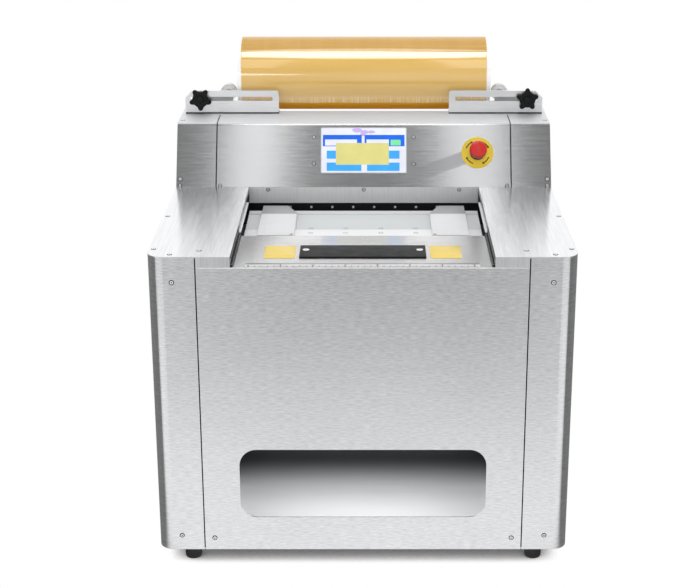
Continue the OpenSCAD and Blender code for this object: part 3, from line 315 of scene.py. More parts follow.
def moulded(name, color, roughness, waves=2200.0, strength=0.08, coat=0.0, bevel=0.0005, variation=0.05,
            specular=0.5):
    """Moulded plastic or rubber with a fine pebbled skin and slight tone changes."""
    s = Shader(name, Coat_Weight=coat, Coat_Roughness=0.08, Specular_IOR_Level=specular)
    fine = s.noise(waves)
    s.set(Base_Color=s.varied(s.noise(22, 3.0), color, variation))
    s.set(Roughness=s.swing(fine, roughness - 0.05, roughness + 0.06))
    s.bump(fine, strength, 0.0002, bevel)
    return s.mat


# Near-black used as painted shade in screw recesses, round screw heads and in the bay's gaps, and for the
# guides' dark plugs
shade_and_plug_black = moulded("shade_and_plug_black", (0.012, 0.012, 0.013), 0.6)
drive_paint = moulded("drive_paint", (0.03, 0.03, 0.033), 0.5, waves=1200)
bar_black = moulded("bar_black", (0.014, 0.014, 0.016), 0.32, waves=900, strength=0.05)
rubber = moulded("rubber", (0.012, 0.012, 0.012), 0.62, waves=1500, strength=0.15)
knob_black = moulded("knob_black", (0.005, 0.005, 0.006), 0.3, waves=2600, strength=0.1, specular=0.25)
# The support rollers are painted deep amber as painted shade of the roll's underside
roller_shade_amber = moulded("roller_shade_amber", (0.60, 0.235, 0.014), 0.5, waves=900, strength=0.05, specular=0.1)
case_black = moulded("case_black", (0.02, 0.02, 0.022), 0.42, waves=2000, strength=0.1)
stop_red = moulded("stop_red", (0.68, 0.022, 0.018), 0.3, waves=1400, strength=0.04, coat=0.5, bevel=0.0004)
ring_yellow = moulded("ring_yellow", (0.85, 0.6, 0.03), 0.36, waves=1400, strength=0.04, coat=0.2)
mark_black = moulded("mark_black", (0.03, 0.025, 0.02), 0.5)
label_yellow = moulded("label_yellow", (0.9, 0.66, 0.1), 0.34, waves=900, strength=0.03, coat=0.2,
                       bevel=0.0002)
nylon = moulded("nylon", (0.98, 0.98, 0.98), 0.5, waves=1400, strength=0.05, bevel=0.0006)
inset_white = moulded("inset_white", (0.93, 0.935, 0.94), 0.4, waves=900, strength=0.06, bevel=0.0004,
                      variation=0.02)
bezel = moulded("bezel", (0.5, 0.52, 0.55), 0.28, waves=1200, strength=0.03, coat=0.3, bevel=0.0003)


# Sheets, boards, card and film


def pocket_sheet():
    """Satin sheet of the hand pocket, pale at the sill and darkened with painted shade where it sweeps up
    at the back.
    """
    s = Shader("pocket_sheet", Metallic=0.3)
    _, y, _ = s.axes()
    streak = s.noise((8, 1200, 1200), 3.0)
    # Painted shade towards the back of the pocket
    back_shade = s.fade(y, depth(110), depth(184), 0, 1)
    pale = s.mix(s.swing(streak, 0, 1), (0.80, 0.81, 0.82), (0.87, 0.88, 0.89))
    s.set(Base_Color=s.mix(back_shade, pale, (0.03, 0.031, 0.033)))
    s.set(Roughness=s.swing(streak, 0.42, 0.55))
    s.bump(streak, 0.03, 0.0004)
    return s.mat


def strip_cloth():
    """Black coated glass cloth over the sealing plate: a fine square weave under a smooth coat."""
    s = Shader("strip_cloth", Specular_IOR_Level=0.2)
    x, y, _ = s.axes()
    threads = 5200.0
    weave = s.times(s.math("SINE", s.times(x, threads)), s.math("SINE", s.times(y, threads)))
    cloud = s.noise(60, 4.0)
    s.set(Base_Color=s.mix(cloud, (0.010, 0.010, 0.011), (0.020, 0.020, 0.021)))
    s.set(Roughness=s.swing(cloud, 0.4, 0.55))
    s.bump(weave, 0.15, 0.0001, 0.0008)
    return s.mat


def white_sheet(name, roughness, waves, front, rear, shade_border, skin, strength, bevel):
    """White board or sheet. Front and rear each hold the two ends of a tone, and meet at the given edge;
    the rear's darker tone is painted shade.
    """
    s = Shader(name, Roughness=roughness)
    _, y, _ = s.axes()
    cloud = s.noise(waves, 3.0)
    behind = s.remap(y, depth(shade_border[0]), depth(shade_border[1]), 0, 1)
    s.set(Base_Color=s.mix(behind, s.mix(cloud, *front), s.mix(cloud, *rear)))
    s.bump(s.noise(skin), strength, 0.0002, bevel)
    return s.mat


def wound_card():
    """Spiral wound card of the core: pale brown plies that meet along a helix, with loose fibres."""
    s = Shader("wound_card", Roughness=0.75)
    x, y, z = s.axes()
    around = s.math("ARCTAN2", s.minus(z, ROLL.z), s.minus(y, ROLL.y))
    seam = s.math("SINE", s.plus(s.times(x, 60.0), around))
    fibre = s.noise((300, 900, 900), 4.0)
    tone = s.mix(s.swing(fibre, 0, 1), (0.50, 0.42, 0.32), (0.62, 0.54, 0.43))
    s.set(Base_Color=s.mix(s.remap(seam, 0.985, 1.0, 0, 0.6), tone, (0.30, 0.24, 0.18)))
    s.bump(fibre, 0.2, 0.0003)
    return s.mat


def amber_film():
    """Wound stretch film: clear layers that read as amber, with faint bands, rings at the ends and painted
    light below.
    """
    s = Shader("amber_film", Coat_Roughness=0.07, Coat_IOR=1.6, IOR=1.25)
    x, y, z = s.axes()
    behind = s.math("POWER", s.minus(y, ROLL.y), 2.0)
    above = s.math("POWER", s.minus(z, ROLL.z), 2.0)
    rings = s.math("SINE", s.times(s.math("SQRT", s.plus(behind, above)), 9000.0))
    bands = s.noise((60, 2, 2), 3.0)
    streaks = s.noise((3, 160, 160), 3.0)
    level = s.remap(s.plus(s.times(bands, 0.5), s.times(streaks, 0.5)), 0.35, 0.65, 0, 1)
    side = s.mix(level, (0.49, 0.275, 0.048), (0.54, 0.315, 0.072))
    # Painted light: the underside is painted a brighter, deeper amber
    side = s.mix(s.fade(z, height(108), height(133), 1, 0), side, (0.95, 0.46, 0.03))
    end = s.mix(s.remap(rings, -1, 1, 0, 1), (0.55, 0.27, 0.04), (0.74, 0.42, 0.10))
    is_end = s.remap(s.math("ABSOLUTE", x), (ROLL_HALF - 1.0) * MM, (ROLL_HALF - 0.6) * MM, 0, 1)
    s.set(Base_Color=s.mix(is_end, side, end), Roughness=s.swing(streaks, 0.2, 0.3))
    low = s.fade(z, height(123), height(168), 0.05, 1.0)
    s.set(Coat_Weight=s.times(low, s.fade(z, height(215), height(228), 1.0, 0.35)))
    s.set(Specular_IOR_Level=s.fade(z, height(108), height(133), 0.0, 0.5))
    s.bump(streaks, 0.05, 0.0006)
    return s.mat


def lap_film():
    """The loose outer lap: amber over the roll, milky past its ends, streaked at its ragged edge, which has
    painted light.
    """
    s = Shader("lap_film", Coat_Weight=1.0, Coat_Roughness=0.05, Coat_IOR=1.7, IOR=1.6)
    x, _, z = s.axes()
    past = s.fade(s.math("ABSOLUTE", x), (ROLL_HALF - 2.0) * MM, (ROLL_HALF + 0.6) * MM, 0, 1)
    low = s.fade(z, height(117), height(136), 1, 0)
    fine = s.noise((420, 6, 6), 3.0, 0.6)
    soft = s.noise((7, 30, 30), 3.0)
    level = s.swing(soft, 0, 1)
    amber = s.mix(level, (0.72, 0.45, 0.112), (0.76, 0.49, 0.145))
    torn_and_lit = s.mix(s.remap(fine, 0.42, 0.62, 0, 1), (0.90, 0.58, 0.22), (1.0, 0.82, 0.55))
    milky = s.mix(level, (0.90, 0.90, 0.91), (0.98, 0.98, 0.98))
    # Painted light: the ragged edge is painted lighter and given a faint glow, over its real streaks
    s.set(Base_Color=s.mix(past, s.mix(s.times(low, 0.85), amber, torn_and_lit), milky))
    s.set(Emission_Color=torn_and_lit, Emission_Strength=s.times(low, 0.09))
    s.set(Roughness=s.swing(fine, 0.1, 0.2))
    s.bump(s.plus(soft, s.times(s.times(fine, low), 0.25)), 0.25, 0.0012)
    return s.mat


def lit(name, color, strength):
    """A lit field of the touch screen, with a faint pixel grid and a slight fall of light."""
    s = Shader(name, Roughness=0.12, Base_Color=tinted(color, 0.35))
    x, _, _ = s.axes()
    grid = s.times(s.math("SINE", s.times(x, 16000.0)), 0.03)
    level = s.plus(s.swing(s.noise(30), 0.9, 1.08), grid)
    glow = s.add("ShaderNodeVectorMath", {0: color, "Scale": level}, operation="SCALE")
    s.set(Emission_Color=glow.outputs[0], Emission_Strength=strength)
    return s.mat


pocket_steel = pocket_sheet()
strip_black = strip_cloth()
# The front board is bright, the rear one darker with painted shade under the console
board_white = white_sheet("bed_board", 0.4, 18, ((0.94, 0.95, 0.955), (0.97, 0.975, 0.98)),
                          ((0.67, 0.69, 0.70), (0.72, 0.74, 0.75)), (238.8, 239.2), 500, 0.06, 0.0005)
# The side guides are darker at the rear end with painted shade under the console; that end has the dark
# slot under it
guide_white = white_sheet("guide_sheet", 0.35, 30, ((0.74, 0.75, 0.76), (0.80, 0.81, 0.82)),
                          ((0.30, 0.305, 0.31), (0.37, 0.375, 0.38)), (298.5, 301), 900, 0.05, 0.0008)
core_board = wound_card()
film_amber = amber_film()
film_lap = lap_film()


# Mesh building: profiles, outlines, heights and bevels are in millimetres


def add_object(name, data):
    o = bpy.data.objects.new(name, data)
    bpy.context.scene.collection.objects.link(o)
    return o


def finish_mesh(bm, name, angle=35.0):
    """Smooth mesh with edges sharper than the angle kept sharp."""
    bmesh.ops.recalc_face_normals(bm, faces=bm.faces)
    me = bpy.data.meshes.new(name)
    bm.to_mesh(me)
    bm.free()
    for p in me.polygons:
        p.use_smooth = True
    me.set_sharp_from_angle(angle=math.radians(angle))
    return me


def piece(name, bm, angle, body, mats, replaced=()):
    me = finish_mesh(bm, name, angle)
    o = add_object(name, me)
    for m in mats:
        me.materials.append(m)
    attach(o, body)
    if replaced:
        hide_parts(*replaced)
    return o


def evaluated_mesh(o):
    bpy.context.view_layer.update()
    return bpy.data.meshes.new_from_object(o.evaluated_get(bpy.context.evaluated_depsgraph_get()))


def mm(points):
    """Points given in millimetres, in metres."""
    return [(a * MM, b * MM) for a, b in points]


def step(k, n):
    """Angle of the k-th of n steps round a circle."""
    return 2 * math.pi * k / n


def polar(radius, angle):
    return radius * math.cos(angle), radius * math.sin(angle)


def hexagon(radius):
    return [polar(radius, math.radians(60 * k)) for k in range(6)]


def rounded(width, tall, r, n=6):
    """Outline of a rounded rectangle about the origin."""
    x = width / 2 - r
    y = tall / 2 - r
    points = []
    for cx, cy, start in ((x, y, 0), (-x, y, 90), (-x, -y, 180), (x, -y, 270)):
        for k in range(n + 1):
            dx, dy = polar(r, math.radians(start + 90 * k / n))
            points.append((cx + dx, cy + dy))
    return points


def bevel_edges(bm, edges, offset, segments):
    return bmesh.ops.bevel(bm, geom=list(edges), offset=offset * MM, segments=segments, profile=0.5,
                           affect="EDGES")["faces"]


def add_box(bm, lo, hi, bevel=0.0, segments=3, matrix=None, material=0):
    """Box between two corners in metres, with its bevel in millimetres."""
    verts = bmesh.ops.create_cube(bm, size=1.0)["verts"]
    for v in verts:
        v.co = Vector((lo[i] if v.co[i] < 0 else hi[i]) for i in range(3))
    faces = set(f for v in verts for f in v.link_faces)
    if bevel:
        made = bevel_edges(bm, set(e for f in faces for e in f.edges), bevel, segments)
        faces = set(made) | set(f for f in faces if f.is_valid)
        verts = list(set(v for f in faces for v in f.verts))
    if matrix is not None:
        bmesh.ops.transform(bm, matrix=matrix, verts=verts)
    for f in faces:
        f.material_index = material


def add_slab(bm, xs, fs, zs, bevel=0.0, segments=3, material=0):
    """Box over these pairs of x, f and z."""
    add_box(bm, *(at(*corner) for corner in zip(xs, fs, zs)), bevel, segments, None, material)


def add_lathe(bm, profile, segments=48, matrix=None, material=0, closed=False):
    """Turns (radius, height) points about local Z. Points of radius 0 close the ends."""
    rings = []
    for r, h in mm(profile):
        if r:
            rings.append([bm.verts.new((*polar(r, step(k, segments)), h)) for k in range(segments)])
        else:
            rings.append([bm.verts.new((0, 0, h))])
    pairs = list(zip(rings, rings[1:]))
    if closed:
        pairs.append((rings[-1], rings[0]))
    for a, b in pairs:
        for k in range(segments):
            j = (k + 1) % segments
            corners = [a[k], a[j]] if len(a) > 1 else [a[0]]
            corners += [b[j], b[k]] if len(b) > 1 else [b[0]]
            if len(corners) > 2:
                bm.faces.new(corners).material_index = material
    if matrix is not None:
        bmesh.ops.transform(bm, matrix=matrix, verts=[v for ring in rings for v in ring])


def add_prism(bm, points, z0, z1, bevel=0.0, segments=3, matrix=None, material=0):
    low, high = [[bm.verts.new((x, y, z * MM)) for x, y in mm(points)] for z in (z0, z1)]
    faces = [bm.faces.new(list(reversed(low))), bm.faces.new(high)]
    n = len(points)
    for k in range(n):
        j = (k + 1) % n
        faces.append(bm.faces.new((low[k], low[j], high[j], high[k])))
    verts = low + high
    if bevel:
        made = bevel_edges(bm, set(e for f in faces[:2] for e in f.edges), bevel, segments)
        faces = [f for f in faces if f.is_valid] + made
        verts = list(set(v for f in faces for v in f.verts))
    for f in faces:
        f.material_index = material
    if matrix is not None:
        bmesh.ops.transform(bm, matrix=matrix, verts=verts)


def add_skin(bm, rings, closed=False):
    """Joins rings of points, each ring to the next, and the last to the first where closed."""
    n = len(rings[0])
    for a, b in zip(rings, rings[1:] + rings[:1] if closed else rings[1:]):
        for k in range(n):
            j = (k + 1) % n
            bm.faces.new((a[k], a[j], b[j], b[k]))


def add_mesh(bm, me, matrix):
    start = len(bm.verts)
    bm.from_mesh(me)
    bm.verts.ensure_lookup_table()
    bmesh.ops.transform(bm, matrix=matrix, verts=bm.verts[start:])


def cut_mesh(base, tool):
    """The base mesh less the tool mesh."""
    a = add_object("cut_base", base)
    b = add_object("cut_tool", tool)
    mod = a.modifiers.new("cut", "BOOLEAN")
    mod.operation = "DIFFERENCE"
    mod.solver = "EXACT"
    mod.object = b
    me = evaluated_mesh(a)
    for o in (a, b):
        bpy.data.objects.remove(o)
    return me


# Screws


def cross_outline(reach):
    """Outline of a cross recess whose arms reach this far."""
    arm = reach * 0.3
    corners = [Vector(corner) for corner in ((reach, -arm), (reach, arm), (arm, arm))]
    points = []
    for k in range(4):
        quarter_turn = Matrix.Rotation(k * math.pi / 2, 2)
        points += [tuple(quarter_turn @ corner) for corner in corners]
    return points


def pan_head(r, h, reach, recess):
    """A pan head with a cross recess filled with painted shade; its bearing face lies on z = 0."""
    bm = bmesh.new()
    add_lathe(bm, [(0, -0.2), (r * 0.62, -0.2), (r * 0.96, 0), (r, h * 0.28), (r * 0.94, h * 0.62),
                   (r * 0.76, h * 0.88), (r * 0.45, h * 0.98), (0, h)], 32)
    base = finish_mesh(bm, "head_base", 50)
    floor_z = h - recess
    bm = bmesh.new()
    add_prism(bm, cross_outline(reach), floor_z, h + 1)
    me = cut_mesh(base, finish_mesh(bm, "head_tool"))
    bm = bmesh.new()
    bm.from_mesh(me)
    # A dark insert in the recess as painted shade
    add_prism(bm, cross_outline(reach * 1.02), floor_z - 0.05, h - 0.2, material=1)
    return finish_mesh(bm, "pan_head", 50)


def socket_head(r, h, key, recess):
    """A cap head with a hexagon recess."""
    bm = bmesh.new()
    add_lathe(bm, [(0, -0.2), (r * 0.9, -0.2), (r, 0), (r, h * 0.8), (r * 0.9, h), (0, h)], 28)
    base = finish_mesh(bm, "socket_base", 40)
    bm = bmesh.new()
    add_prism(bm, hexagon(key), h - recess, h + 1)
    return cut_mesh(base, finish_mesh(bm, "socket_tool"))


def add_screw(bm, kind, pos, normal):
    """A head from kind, a mesh and its radius, over a thin dark ring that is painted shadow round the head.
    """
    me, radius = kind
    m = placed(pos, normal, random.uniform(0, math.pi))
    add_mesh(bm, me, m)
    # Painted shadow: a thin dark ring round the head
    rim = ((0.9, -0.02), (1.5, -0.02), (1.45, 0.12), (0.9, 0.12))
    add_lathe(bm, [(r * radius, h) for r, h in rim], 28, m, 1, True)


PAN = (pan_head(2.8, 1.3, 1.6, 0.8), 2.8)
SMALL = (pan_head(2.4, 1.2, 1.4, 0.8), 2.4)
WIDE = (pan_head(5.4, 1.2, 1.8, 0.6), 5.4)
BOLT = (socket_head(2.2, 1.2, 1.1, 0.8), 2.2)
FLUSH = socket_head(3.0, 0.9, 1.5, 0.8)
ENDS = ((0, AHEAD), (DEPTH, BACK))
END_SCREWS = ((295.3, -41.3), (295.3, -476.5), (242, -481))
DECK_SCREWS = ((326.3, 225.3), (326.3, 42), (298, 13.6), (254.7, 33))
CAP_SCREW_X = 326.7
CAP_FACE_UP = 14.7
CAP_TOP_F = 491.5
FACE_SCREWS = ((CAP_SCREW_X, 2.6), (255.3, 2.6), (89, 42.7), (89, 91.7))
APRON_SCREW_X = 170
APRON_SCREW_Z = -4.6
BRACKET_SCREW_XS = (186.5, 296.5)
BRACKET_SCREW_F = 557.5
BRACKET_TOP = 108.5
STRIP_SCREW_X = 90.3
STRIP_SCREW_F = 84.45
STRIP_TOP = -14.8
BAR_BOLTS = 5
BAR_PITCH = 37.4
BAR_BOLT_F = 413
BAR_BOLT_Z = -37.4

random.seed(7)
bm = bmesh.new()
for side in (-1, 1):
    for x, z in END_SCREWS:
        for f, normal in ENDS:
            add_screw(bm, PAN, at(side * x, f, z), normal)
    for x, f in DECK_SCREWS:
        add_screw(bm, PAN, at(side * x, f, 0), UP)
    add_screw(bm, PAN, face_at(side * CAP_SCREW_X, CAP_FACE_UP), OUT_FACE)
    add_screw(bm, PAN, at(side * CAP_SCREW_X, CAP_TOP_F, CONSOLE_RISE), UP)
    for x, up in FACE_SCREWS:
        add_screw(bm, SMALL, face_at(side * x, up), OUT_FACE)
    add_screw(bm, SMALL, at(side * APRON_SCREW_X, CONSOLE_FOOT, APRON_SCREW_Z), AHEAD)
    for x in BRACKET_SCREW_XS:
        add_screw(bm, PAN, at(side * x, BRACKET_SCREW_F, BRACKET_TOP), UP)
    add_screw(bm, WIDE, at(side * STRIP_SCREW_X, STRIP_SCREW_F, STRIP_TOP), UP)
    for k in range(BAR_BOLTS):
        add_screw(bm, BOLT, at(side * (k + 0.5) * BAR_PITCH, BAR_BOLT_F, BAR_BOLT_Z), AHEAD)
add_screw(bm, SMALL, at(0, CONSOLE_FOOT, APRON_SCREW_Z), AHEAD)
piece("screw_heads", bm, 32, "cabinet", [screw_steel, shade_and_plug_black], ["screws"])

BED_TOP = -27.0
BED_SCREW_XS = (-88, -29.5, 29.5, 88)
BED_SCREW_FS = (218.2, 244.2)
# Dark rings round the flush screws, painted shadow in their gaps
FLUSH_SHADOW_RING = ((3.0, -0.3), (3.5, -0.3), (3.75, 0.06), (3.0, 0.03))
bm = bmesh.new()
for x in BED_SCREW_XS:
    for f in BED_SCREW_FS:
        add_mesh(bm, FLUSH, placed(at(x, f, BED_TOP - 1.0), UP, random.uniform(0, 1)))
        add_lathe(bm, FLUSH_SHADOW_RING, 28, placed(at(x, f, BED_TOP), UP), 1, True)
piece("bed_screws", bm, 32, "lift", [screw_steel, shade_and_plug_black], ["lift_screws"])


# Roll stops

STOP_Z = 130.5
ARM_X = 252.7
NUT_F = 548.2
WASHER_F = 553.3
IDLER_F = 603.0
AXLE_CAP_F = 620.0
KNOB_X = 299
KNOB_F = 544.7
KNOB_POINTS = 200
KNOB_LEVELS = ((0.80, 0.6), (0.93, 0.9), (0.985, 1.9), (1.0, 3.6), (1.0, 7.0), (0.975, 8.6), (0.90, 9.7),
               (0.78, 10.2), (0.60, 10.0), (0.50, 9.7))
IDLER_PROFILE = ((4.1, 0.2), (4.9, 0.0), (7.6, 0.0), (7.9, 0.5), (8.4, 0.9), (13.0, 0.9), (13.7, 0.5),
                 (14.4, 0.1), (15.2, 0.5), (15.5, 1.4), (15.5, 5.2), (15.25, 5.8), (15.25, 8.2),
                 (15.5, 8.8), (15.5, 12.6), (15.2, 13.5), (14.4, 13.9), (13.7, 13.5), (13.0, 13.1),
                 (8.4, 13.1), (7.9, 13.5), (7.6, 14.0), (4.9, 14.0), (4.1, 13.8))


def knob_outline(turn, lobes=5, web=14.6, reach=21.0, half=4.6, smoothing=14):
    """Round lobes on a web, with the corners between them smoothed."""
    raw = []
    centre = reach - half
    for k in range(KNOB_POINTS):
        best = web
        for j in range(lobes):
            off = (step(k, KNOB_POINTS) - turn - step(j, lobes) + math.pi) % (2 * math.pi) - math.pi
            aside = centre * math.sin(off)
            if abs(off) < math.pi / 2 and abs(aside) < half:
                best = max(best, centre * math.cos(off) + math.sqrt(half * half - aside * aside))
        raw.append(best)
    for _ in range(smoothing):
        raw = [(raw[k - 1] + 2 * raw[k] + raw[(k + 1) % KNOB_POINTS]) / 4 for k in range(KNOB_POINTS)]
    return mm(polar(r, step(k, KNOB_POINTS)) for k, r in enumerate(raw))


def star_knob(side, word):
    """Five-lobed clamp knob: rounded lobes, a dished front with a cap, and a short neck behind."""
    bm = bmesh.new()
    outline = knob_outline(math.radians(90 * side))
    rings = [[bm.verts.new((x * share, y * share, z * MM)) for x, y in outline] for share, z in KNOB_LEVELS]
    add_skin(bm, rings)
    bm.faces.new(list(reversed(rings[0])))
    bm.faces.new(rings[-1])
    add_lathe(bm, [(7.4, 9.3), (7.4, 11.6), (6.9, 12.5), (5.2, 13.0), (0, 13.0)], 40)
    add_lathe(bm, [(5.6, 0), (6.6, 0.2), (6.9, 1.4), (5.6, 1.4)], 40, None, 1, True)
    bmesh.ops.transform(bm, matrix=placed(at(side * KNOB_X, KNOB_F, STOP_Z), AHEAD), verts=bm.verts)
    knob = word + "_knob"
    piece("star_" + knob, bm, 40, knob, [knob_black, shaft_steel], [knob])


def turned_idler(side, word):
    """White guide wheel with a groove and dished sides."""
    bm = bmesh.new()
    add_lathe(bm, IDLER_PROFILE, 64, placed(at(side * ARM_X, IDLER_F, STOP_Z), BACK), 0, True)
    idler = word + "_idler"
    piece("turned_" + idler, bm, 30, idler, [nylon], [idler])


def arm_fittings(side, word):
    """Nut and washer on the arm, and the cap of the idler's axle."""
    bm = bmesh.new()
    nut = placed(at(side * ARM_X, NUT_F, STOP_Z), AHEAD, 0.26)
    add_prism(bm, hexagon(3.15), 0, 2.5, 0.2, 2, nut)
    add_lathe(bm, [(4.2, 0), (8.2, 0), (8.2, 1.1), (4.2, 1.1)], 40,
              placed(at(side * ARM_X, WASHER_F, STOP_Z), BACK), 0, True)
    add_lathe(bm, [(4.0, 0), (5.4, 0.2), (6.3, 0.9), (5.7, 2.1), (0, 2.5)], 40,
              placed(at(side * ARM_X, AXLE_CAP_F, STOP_Z), BACK))
    piece(word + "_arm_fittings", bm, 32, word + "_stop", [shaft_steel], ())


for side, word in SIDES:
    star_knob(side, word)
for side, word in SIDES:
    turned_idler(side, word)
    arm_fittings(side, word)


# Stop button

BUTTON_FRAME = placed(face_at(BUTTON_X, BUTTON_UP), OUT_FACE)
STEM_BORE = 6.15
BLOCK_BORE = 6.3
RING_TOP = 1.5
MARK_LIFT = 0.06
GRIPS = 24


def mushroom_head():
    """Red head with a flat collar, a domed top, a bore for the stem and shallow grips in its rim."""
    bm = bmesh.new()
    add_lathe(bm, [(STEM_BORE, 13.4), (10.6, 13.4), (10.9, 13.7), (10.9, 16.4), (11.6, 17.0),
                   (14.6, 17.1), (15.3, 17.6), (15.5, 18.6), (15.5, 24.4), (15.3, 25.8), (14.6, 27.2),
                   (13.4, 28.4), (11.6, 29.2), (8.5, 29.7), (4.0, 29.95), (0, 30.0)], 72)
    add_lathe(bm, [(STEM_BORE, 13.4), (STEM_BORE, 25.5), (0, 25.5)], 72)
    bmesh.ops.remove_doubles(bm, verts=bm.verts, dist=1e-6)
    for v in bm.verts:
        if math.hypot(v.co.x, v.co.y) > 15.0 * MM and 18.0 * MM < v.co.z < 26.2 * MM:
            grip = max(0.0, math.cos(GRIPS / 2 * math.atan2(v.co.y, v.co.x)))
            share = 1 - 0.014 * grip ** 2
            v.co.x *= share
            v.co.y *= share
    bmesh.ops.transform(bm, matrix=BUTTON_FRAME, verts=bm.verts)
    return piece("mushroom_head", bm, 45, "stop_button_head", [stop_red], ["estop_head"])


def arc_mark(bm, radius, start, sweep, width, head_angle=9.0, n=14):
    """A flat curved arrow that runs clockwise: an arc band that ends in a triangle."""
    shaft_end = start - sweep + head_angle
    inner, outer = [], []
    for k in range(n + 1):
        a = math.radians(start - (sweep - head_angle) * k / n)
        inner.append(polar(radius - width / 2, a))
        outer.append(polar(radius + width / 2, a))
    root, tip = math.radians(shaft_end), math.radians(start - sweep)
    head = [polar(radius, tip), polar(radius + width * 1.5, root), polar(radius - width * 1.5, root)]
    for outline in (inner + outer[::-1], head):
        add_prism(bm, outline, RING_TOP, RING_TOP + MARK_LIFT, material=1)


def button_ring():
    """Yellow ring behind the head, with four plain arrows."""
    bm = bmesh.new()
    rim = [(11.25, 0.0), (28.2, 0.0), (28.7, 0.35), (28.7, 1.1), (28.3, RING_TOP), (11.25, RING_TOP)]
    add_lathe(bm, rim, 96, None, 0, True)
    for k in range(4):
        arc_mark(bm, radius=21.5, start=68 + 90 * k, sweep=46, width=1.9)
    bmesh.ops.transform(bm, matrix=BUTTON_FRAME, verts=bm.verts)
    mats = [ring_yellow, mark_black]
    return piece("button_ring", bm, 40, "cabinet", mats, ["estop_ring"])


def button_body():
    """Ribbed collar nut in front of the console's sheet, and the bored contact block behind it."""
    bm = bmesh.new()
    add_lathe(bm, [(BLOCK_BORE, 8.5), (9.2, 8.5), (9.6, 8.2), (12.8, 8.2), (13.4, 7.6), (13.5, 6.6),
                   (13.5, 1.6), (10.85, 1.6), (10.85, -1.5), (BLOCK_BORE, -1.5)], 72, None, 0, True)
    rib_low = (12.9 * MM, -0.55 * MM, 1.9 * MM)
    rib_high = (13.5 * MM, 0.55 * MM, 6.4 * MM)
    for k in range(GRIPS):
        add_box(bm, rib_low, rib_high, 0.15, 1, Matrix.Rotation(step(k, GRIPS), 4, "Z"))
    block = bmesh.new()
    half = 15 * MM
    add_box(block, (-half, -half, -39.4 * MM), (half, half, -1.6 * MM), 1.2, 3)
    bore = bmesh.new()
    add_prism(bore, [polar(BLOCK_BORE, step(k, 48)) for k in range(48)], -21, 1)
    bored = cut_mesh(finish_mesh(block, "contact_block"), finish_mesh(bore, "contact_bore"))
    add_mesh(bm, bored, Matrix.Identity(4))
    bmesh.ops.transform(bm, matrix=BUTTON_FRAME, verts=bm.verts)
    piece("button_body", bm, 35, "cabinet", [case_black], ["estop_block"])


mushroom = mushroom_head()
collar_ring = button_ring()
button_body()


# Touch screen

SCREEN_UP = 67.2
SCREEN_W = 154
SCREEN_H = 85
CLOUDS = ((-12, 37, 17, 8.5), (1, 33.5, 15, 8), (14, 34, 12, 6), (-2, 29.5, 9, 7), (-26, -33, 13, 9),
          (30, 6, 14, 5))
LILAC_CLOUDS = 4
FIELDS = (("white", (0.86, 0.88, 0.98), 0.72), ("pale", (0.62, 0.72, 0.97), 0.7),
          ("lilac", (0.62, 0.5, 0.9), 0.7), ("blue", (0.02, 0.16, 0.86), 0.72),
          ("sky", (0.06, 0.42, 0.93), 0.78), ("green", (0.24, 0.85, 0.42), 0.72),
          ("cream", (0.86, 0.8, 0.3), 0.62))
screen_mats = [bezel] + [lit("screen_" + word, color, glow) for word, color, glow in FIELDS]
WHITE, PALE, LILAC, BLUE, SKY, GREEN, CREAM = range(1, len(screen_mats))


def add_panel(bm, x0, x1, y0, y1, z, material, r=0.8, lift=0.05):
    """A flat field of the screen, given in millimetres about the screen's centre."""
    width, tall = x1 - x0, y1 - y0
    cx, cy = (x0 + x1) / 2, (y0 + y1) / 2
    outline = rounded(width, tall, min(r, width / 2.01, tall / 2.01), 4)
    add_prism(bm, [(x + cx, y + cy) for x, y in outline], z, z + lift, material=material)


def add_cloud(bm, k, x, y, w, h, n=22):
    """A flat soft blob of the start page's sky."""
    outline = []
    for a in (step(j, n) for j in range(n)):
        bulge = 1 + 0.12 * math.sin(3 * a + k)
        outline.append((x + w / 2 * math.cos(a) * bulge, y + h / 2 * math.sin(a)))
    add_prism(bm, outline, 1.05, 1.07, material=LILAC if k < LILAC_CLOUDS else PALE)


bm = bmesh.new()
add_prism(bm, rounded(SCREEN_W, SCREEN_H, 3.0, 8), 0, 1.0, 0.25, 2)
add_panel(bm, -75.5, 75.5, -41, 41, 1.0, WHITE, 1.2)
for k, cloud in enumerate(CLOUDS):
    add_cloud(bm, k, *cloud)
# Two headed fields, four keys and a plain cream panel over the middle
for x0, x1 in ((-73, -3.5), (1.5, 73)):
    add_panel(bm, x0, x1, 7.5, 28.5, 1.07, BLUE, 0.6)
add_panel(bm, -69, -12, 8.8, 20, 1.12, WHITE, 0.5)
add_panel(bm, 5, 45, 8.8, 20, 1.12, WHITE, 0.5)
add_panel(bm, 48, 66, 9, 19.5, 1.12, GREEN, 1.2)
for x0, x1 in ((-66, -4), (6, 64)):
    for y0, y1 in ((-15.5, -0.5), (-38, -22.5)):
        add_panel(bm, x0, x1, y0, y1, 1.07, SKY, 1.0)
add_panel(bm, -49.5, 45, -26.5, 13.5, 1.13, CREAM, 0.8, 0.06)
bmesh.ops.transform(bm, matrix=placed(face_at(0, SCREEN_UP), OUT_FACE), verts=bm.verts)
piece("touch_screen", bm, 40, "cabinet", screen_mats, ["screen_glass"])


# Film roll

FILM_BORE = 41.05
END_STEPS = 26
SIDE_STEPS = 24
ROUND_STEPS = 256
LAP_HALF = 232.6
LAP_THICK = 0.75
LAP_SEAT = 0.85
LAP_OVER = LAP_HALF - ROLL_HALF + 0.1
LAP_COLS = 150
LAP_ROWS = 60
CORE_HALF = 228.0
CORE_IN = 38.0
CORE_OUT = 41.0
CORE_LIP = 0.5


def roll_point(x, r, a):
    return Vector((x, ROLL.y / MM + r * math.cos(a), ROLL.z / MM + r * math.sin(a))) * MM


